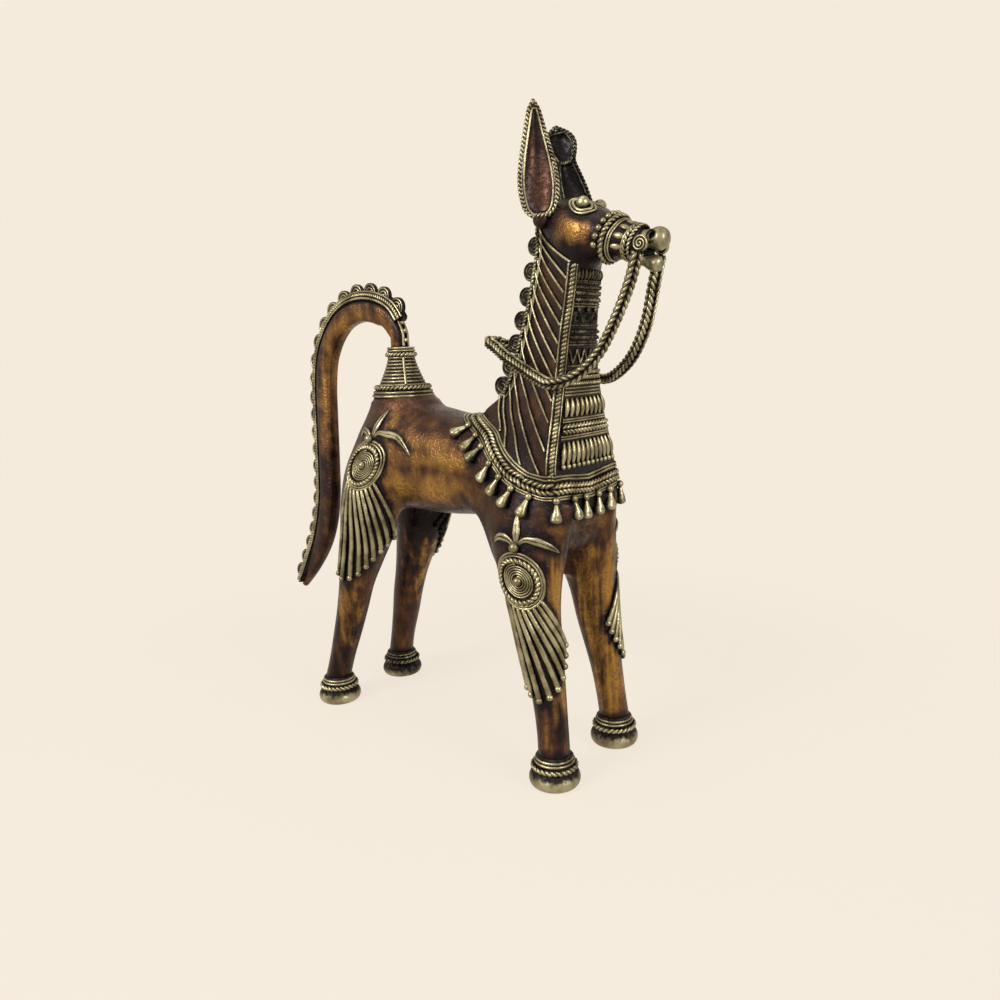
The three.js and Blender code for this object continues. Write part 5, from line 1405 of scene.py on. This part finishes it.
def breast_rods(top, low, count, radius):
    """Upright spindles, thin at both ends, and the places and outward directions of their feet."""
    share, run = np.linspace(-0.72, 0.84, count)[:, None], np.linspace(0, 1, 22)
    at, out = spot_on_breast(top + (low - top) * run, share)
    swell = 0.42 + 0.62 * np.sin(np.pi * run) ** 0.9
    return thread(at, out, radius, swell, lift=0.5, sides=9), at[:, -1], out[:, -1]


print("width of the breast at 190 mm:", round(float(np.ptp(breast_row(190.0)[0][:, 1])), 1), "mm")

# %% Upper rows
UPPER_RUB = 0.66
fringe, *_ = breast_rods(233.8, 229.4, 9, 0.95)
set_on("breast_fringe", fringe, *breast_lines(229.0), rub=UPPER_RUB)
set_on("breast_ropes_upper", *breast_ropes([226.4, 223.8, 221.2]), *breast_lines(228.2, 219.4, 218.2),
       rub=UPPER_RUB)

ring_share = np.linspace(-0.52, 0.52, 3)
centres = list(zip(*spot_on_breast(213.2, ring_share)))
studs, studs_out = spot_on_breast(216.9, ring_share)
rings = [hoop(centre, out, radius, 0.1, 0.55, 40) for centre, out in centres for radius in (2.3, 1.1)]
rings.append(beads(studs + studs_out * 0.5, 0.95, studs_out))
set_on("breast_rings", *rings, *breast_lines(210.2), rub=UPPER_RUB)
set_on("breast_ropes_middle", *breast_ropes([207.6, 205.0]), *breast_lines(203.0, 201.8), rub=UPPER_RUB)

TEETH = 4
zigzag = np.linspace(0, 2 * TEETH, 161)
zig = spot_on_breast(193.8 + 6.0 * np.abs(zigzag % 2 - 1), -0.76 + 1.52 * zigzag / (2 * TEETH))
set_on("breast_zigzag", thread(*zig, 0.6), *breast_lines(192.6), rub=UPPER_RUB)

# %% Lower rows
set_on("breast_ropes_lower", *breast_ropes([189.8, 187.4, 185.0], 2.1), *breast_lines(183.0, 181.4, 180.0))
upper_rods, *_ = breast_rods(178.6, 170.4, 9, 1.3)
lower_rods, feet, feet_out = breast_rods(159.6, 149.4, 12, 1.35)
set_on("breast_rods_upper", upper_rods)
set_on("breast_braid", braid(*breast_row(165.2), 5.0, 5.2), *breast_lines(169.4, 168.3, 162.0, 160.9))
set_on("breast_rods_lower", lower_rods, beads(feet - [0, 0, 0.6] + feet_out * 0.7, 1.3, feet_out))

# %% [markdown]
# ## Collar
# The collar goes round the foot of the neck. Its route is a line in space that falls onto the skin towards
# the middle of the chest. A braid lies on it between plain borders, and ball-and-drop pendants hang from the
# lower border, each with a hollow pressed into its face.

# %% Collar
COLLAR_LINE = [
    [18.5, 0, 169.3], [22.6, 6.2, 168.3], [30.5, 11.6, 165.3], [40.7, 16.6, 160.5], [46.2, 20.3, 156.2],
    [51.7, 23.1, 151.6], [57.2, 24.9, 147.6], [62.6, 25.9, 144.4], [69.5, 27.2, 142.1], [74.7, 26.9, 140.7],
    [80.3, 26.3, 139.5], [84.2, 24.5, 139.3],
]
COLLAR_FRONT, CHEST = np.array([86.0, 0, 137.6]), np.array([58.0, 0, 124.0])
SIDE_STOPS, FRONT_STOPS = np.linspace(0, 1, 90), np.linspace(0, 1, 31)[1:]
collar_corner = np.array(COLLAR_LINE[-1])
front_line = collar_corner + (COLLAR_FRONT - collar_corner) * FRONT_STOPS[:, None]
half_line = np.concatenate([route(COLLAR_LINE)(SIDE_STOPS), front_line])
loop_line = np.concatenate([half_line * [1, -1, 1], half_line[1:-1][::-1]])


def collar_spots(offset):
    """The collar's route moved down the skin by an offset, laid on the skin."""
    along = np.roll(loop_line, -3, 0) - np.roll(loop_line, 3, 0)
    down = norm(np.cross(along, loop_line - CHEST))
    way = norm(loop_line + down * offset - CHEST)
    return over(CHEST + way * 90, way)


set_on("collar_braid", braid(*collar_spots(0.0), 5.6, 5.2, loop=True))
set_on("collar_border", *(thread(*collar_spots(offset), 0.6, loop=True) for offset in (-3.5, -4.8)))

# %% Pendants
PENDANT_STOPS = np.concatenate([np.linspace(0.2, 1, 8), [1.4, 1.8]])  # 0 to 1 on the side, 1 to 2 in front
HANG_TOP, HANG_TIP = 3.8, 14.8  # how far below the collar
DROP_START, DROP_LENGTH = 2.2, 9.0
DROP_SHARES, DROP_RADII = [0, 0.06, 0.35, 0.6, 0.8, 0.93, 1], [0.4, 1.0, 1.6, 2.5, 2.85, 2.1, 0.3]
DENT_DEPTH, DENT_PLACE, DENT_REACH = 0.22, 0.7, 0.17
half_stops = np.concatenate([SIDE_STOPS, 1 + FRONT_STOPS])


def hung(offset):
    """Spots for the pendants below the collar, on both sides."""
    pick = lambda column: np.interp(PENDANT_STOPS, half_stops, column[:len(half_stops)])
    at, out = (np.stack([pick(column) for column in values.T], -1) for values in collar_spots(offset))
    out = norm(out)
    return np.concatenate([at, at * [1, -1, 1]]), np.concatenate([out, out * [1, -1, 1]])


(tops, tops_out), (tips, tips_out) = hung(HANG_TOP), hung(HANG_TIP)
head = tops + tops_out * 1.4
axis = norm(tips + tips_out * 2.5 - head)
run, turn = np.linspace(0, 1, 22), turns(16)
pressed = np.exp(-(((run - DENT_PLACE) / DENT_REACH) ** 2))[:, None]
dent = DENT_DEPTH * pressed * np.clip(np.sin(turn), 0, 1) ** 6
drop_radius = np.interp(run, DROP_SHARES, DROP_RADII)[:, None] * (1 - dent)
drop_path = head[:, None] + axis[:, None] * (DROP_START + DROP_LENGTH * run)[:, None]
drop_up = np.broadcast_to(tops_out[:, None], drop_path.shape)
drops = sweep(drop_path, drop_up, drop_radius[..., None] * circle(1.0, 16))
set_on(
    "collar_pendants",
    net(drops, np.clip(0.55 + 0.5 * np.sin(turn) - 1.5 * dent, 0.05, 1)),
    beads(head + axis, 1.8, tops_out),
    thread(*collar_spots(3.4), 0.55, loop=True),
    thread(*collar_spots(4.5), 0.5, loop=True),
)

# %% [markdown]
# ## The body
# The skin comes last, because its painted shade depends on what lies on it: the corners beside the ornament
# are darkened as painted shade, and the open flanks are not. The points of all ornaments but the tail's are
# marked in small boxes, the marks are spread to their neighbours, and the body reads them as painted shade.
# Gold is laid on in soft patches where hands rub.

# %% Painted shade beside the ornament
BOX, BOXES, BOXES_LOW = 1.6, (140, 57, 170), np.array([-95.0, -45.0, 5.0])


def boxes_of(points):
    """The numbers of the small boxes that points lie in."""
    return ((points - BOXES_LOW) / BOX).astype(int)


marks = np.zeros(BOXES)
for made in bpy.data.objects:
    if made.name.endswith("_cast") and not made.name.startswith("tail"):
        points = np.zeros(len(made.data.vertices) * 3)
        made.data.vertices.foreach_get("co", points)
        places = boxes_of(points.reshape(-1, 3) / MM)
        marks[tuple(places[((places >= 0) & (places < BOXES)).all(1)].T)] = 1.0
for axis in (0, 1, 2, 0, 1, 2):
    marks = (marks + np.roll(marks, 1, axis) + np.roll(marks, -1, axis)) / 3
height = skin_points[:, 2]
beside = marks[tuple(np.clip(boxes_of(skin_points), 0, np.array(BOXES) - 1).T)]
# painted shade beside the ornament, stronger low on the neck and high near the head
painted_shade = np.clip(beside * 1.9, 0, 0.75) * np.interp(height, [150, 172, 236, 246], [1, 0.5, 0.5, 1])
print("share of shade_painted skin:", round(float((painted_shade > 0.3).mean()), 2))

# %% Gold and the body
PATCHES = [  # middle and reach of a rubbed patch, and how much gold shows
    ((2, 0, 134), (34, 60, 9), 1.0), ((6, 0, 150), (34, 60, 11), 0.72), ((-22, 0, 156), (16, 60, 14), 0.75),
    ((-26, 0, 118), (11, 60, 17), 0.85), ((88, 0, 248.5), (11, 30, 8), 0.95),
    ((72, 0, 205), (16, 60, 40), 0.4), ((82, -20, 95), (9, 14, 26), 0.9), ((77, 24, 85), (9, 12, 45), 0.85),
    ((-58, -32, 60), (9, 9, 34), 0.65), ((-44, 26, 85), (12, 12, 34), 0.75),
    ((82, 0, 42), (10, 40, 26), 0.85), ((84, 0, 121), (6, 40, 6), 0.7),
]
PAINTED_SHADE_PATCHES = [  # the same for painted shade: under the belly, under the jaw and on the head beside the right ear
    ((-30, 11, 106), (18, 11, 10), 0.8), ((6, 0, 117), (44, 24, 5), 0.6), ((84, -6, 239), (10, 12, 6), 0.8),
    ((72, -9, 252), (6.5, 12, 9), 0.75),
]


def laid(patches):
    """The strongest of some patches at each point of the skin. A patch fades from its middle like a bell."""
    away = [(((skin_points - middle) / size) ** 2).sum(1) for middle, size, _ in patches]
    return np.max([amount * np.exp(-0.7 * d) for (*_, amount), d in zip(patches, away)], axis=0)


paint = {
    "gilt": laid(PATCHES),
    "painted_shade": np.maximum(painted_shade, laid(PAINTED_SHADE_PATCHES)),
    "streaky": np.clip((120 - height) / 14, 0.15, 1),  # streaks run down the legs
}
body = {
    "points": skin_points, "rub": np.ones(len(skin_points)),
    "quads": skin_quads, "tris": np.zeros((0, 3), int),
}
show("body_casting", body, patina, paint)

# %% [markdown]
# ## Finish
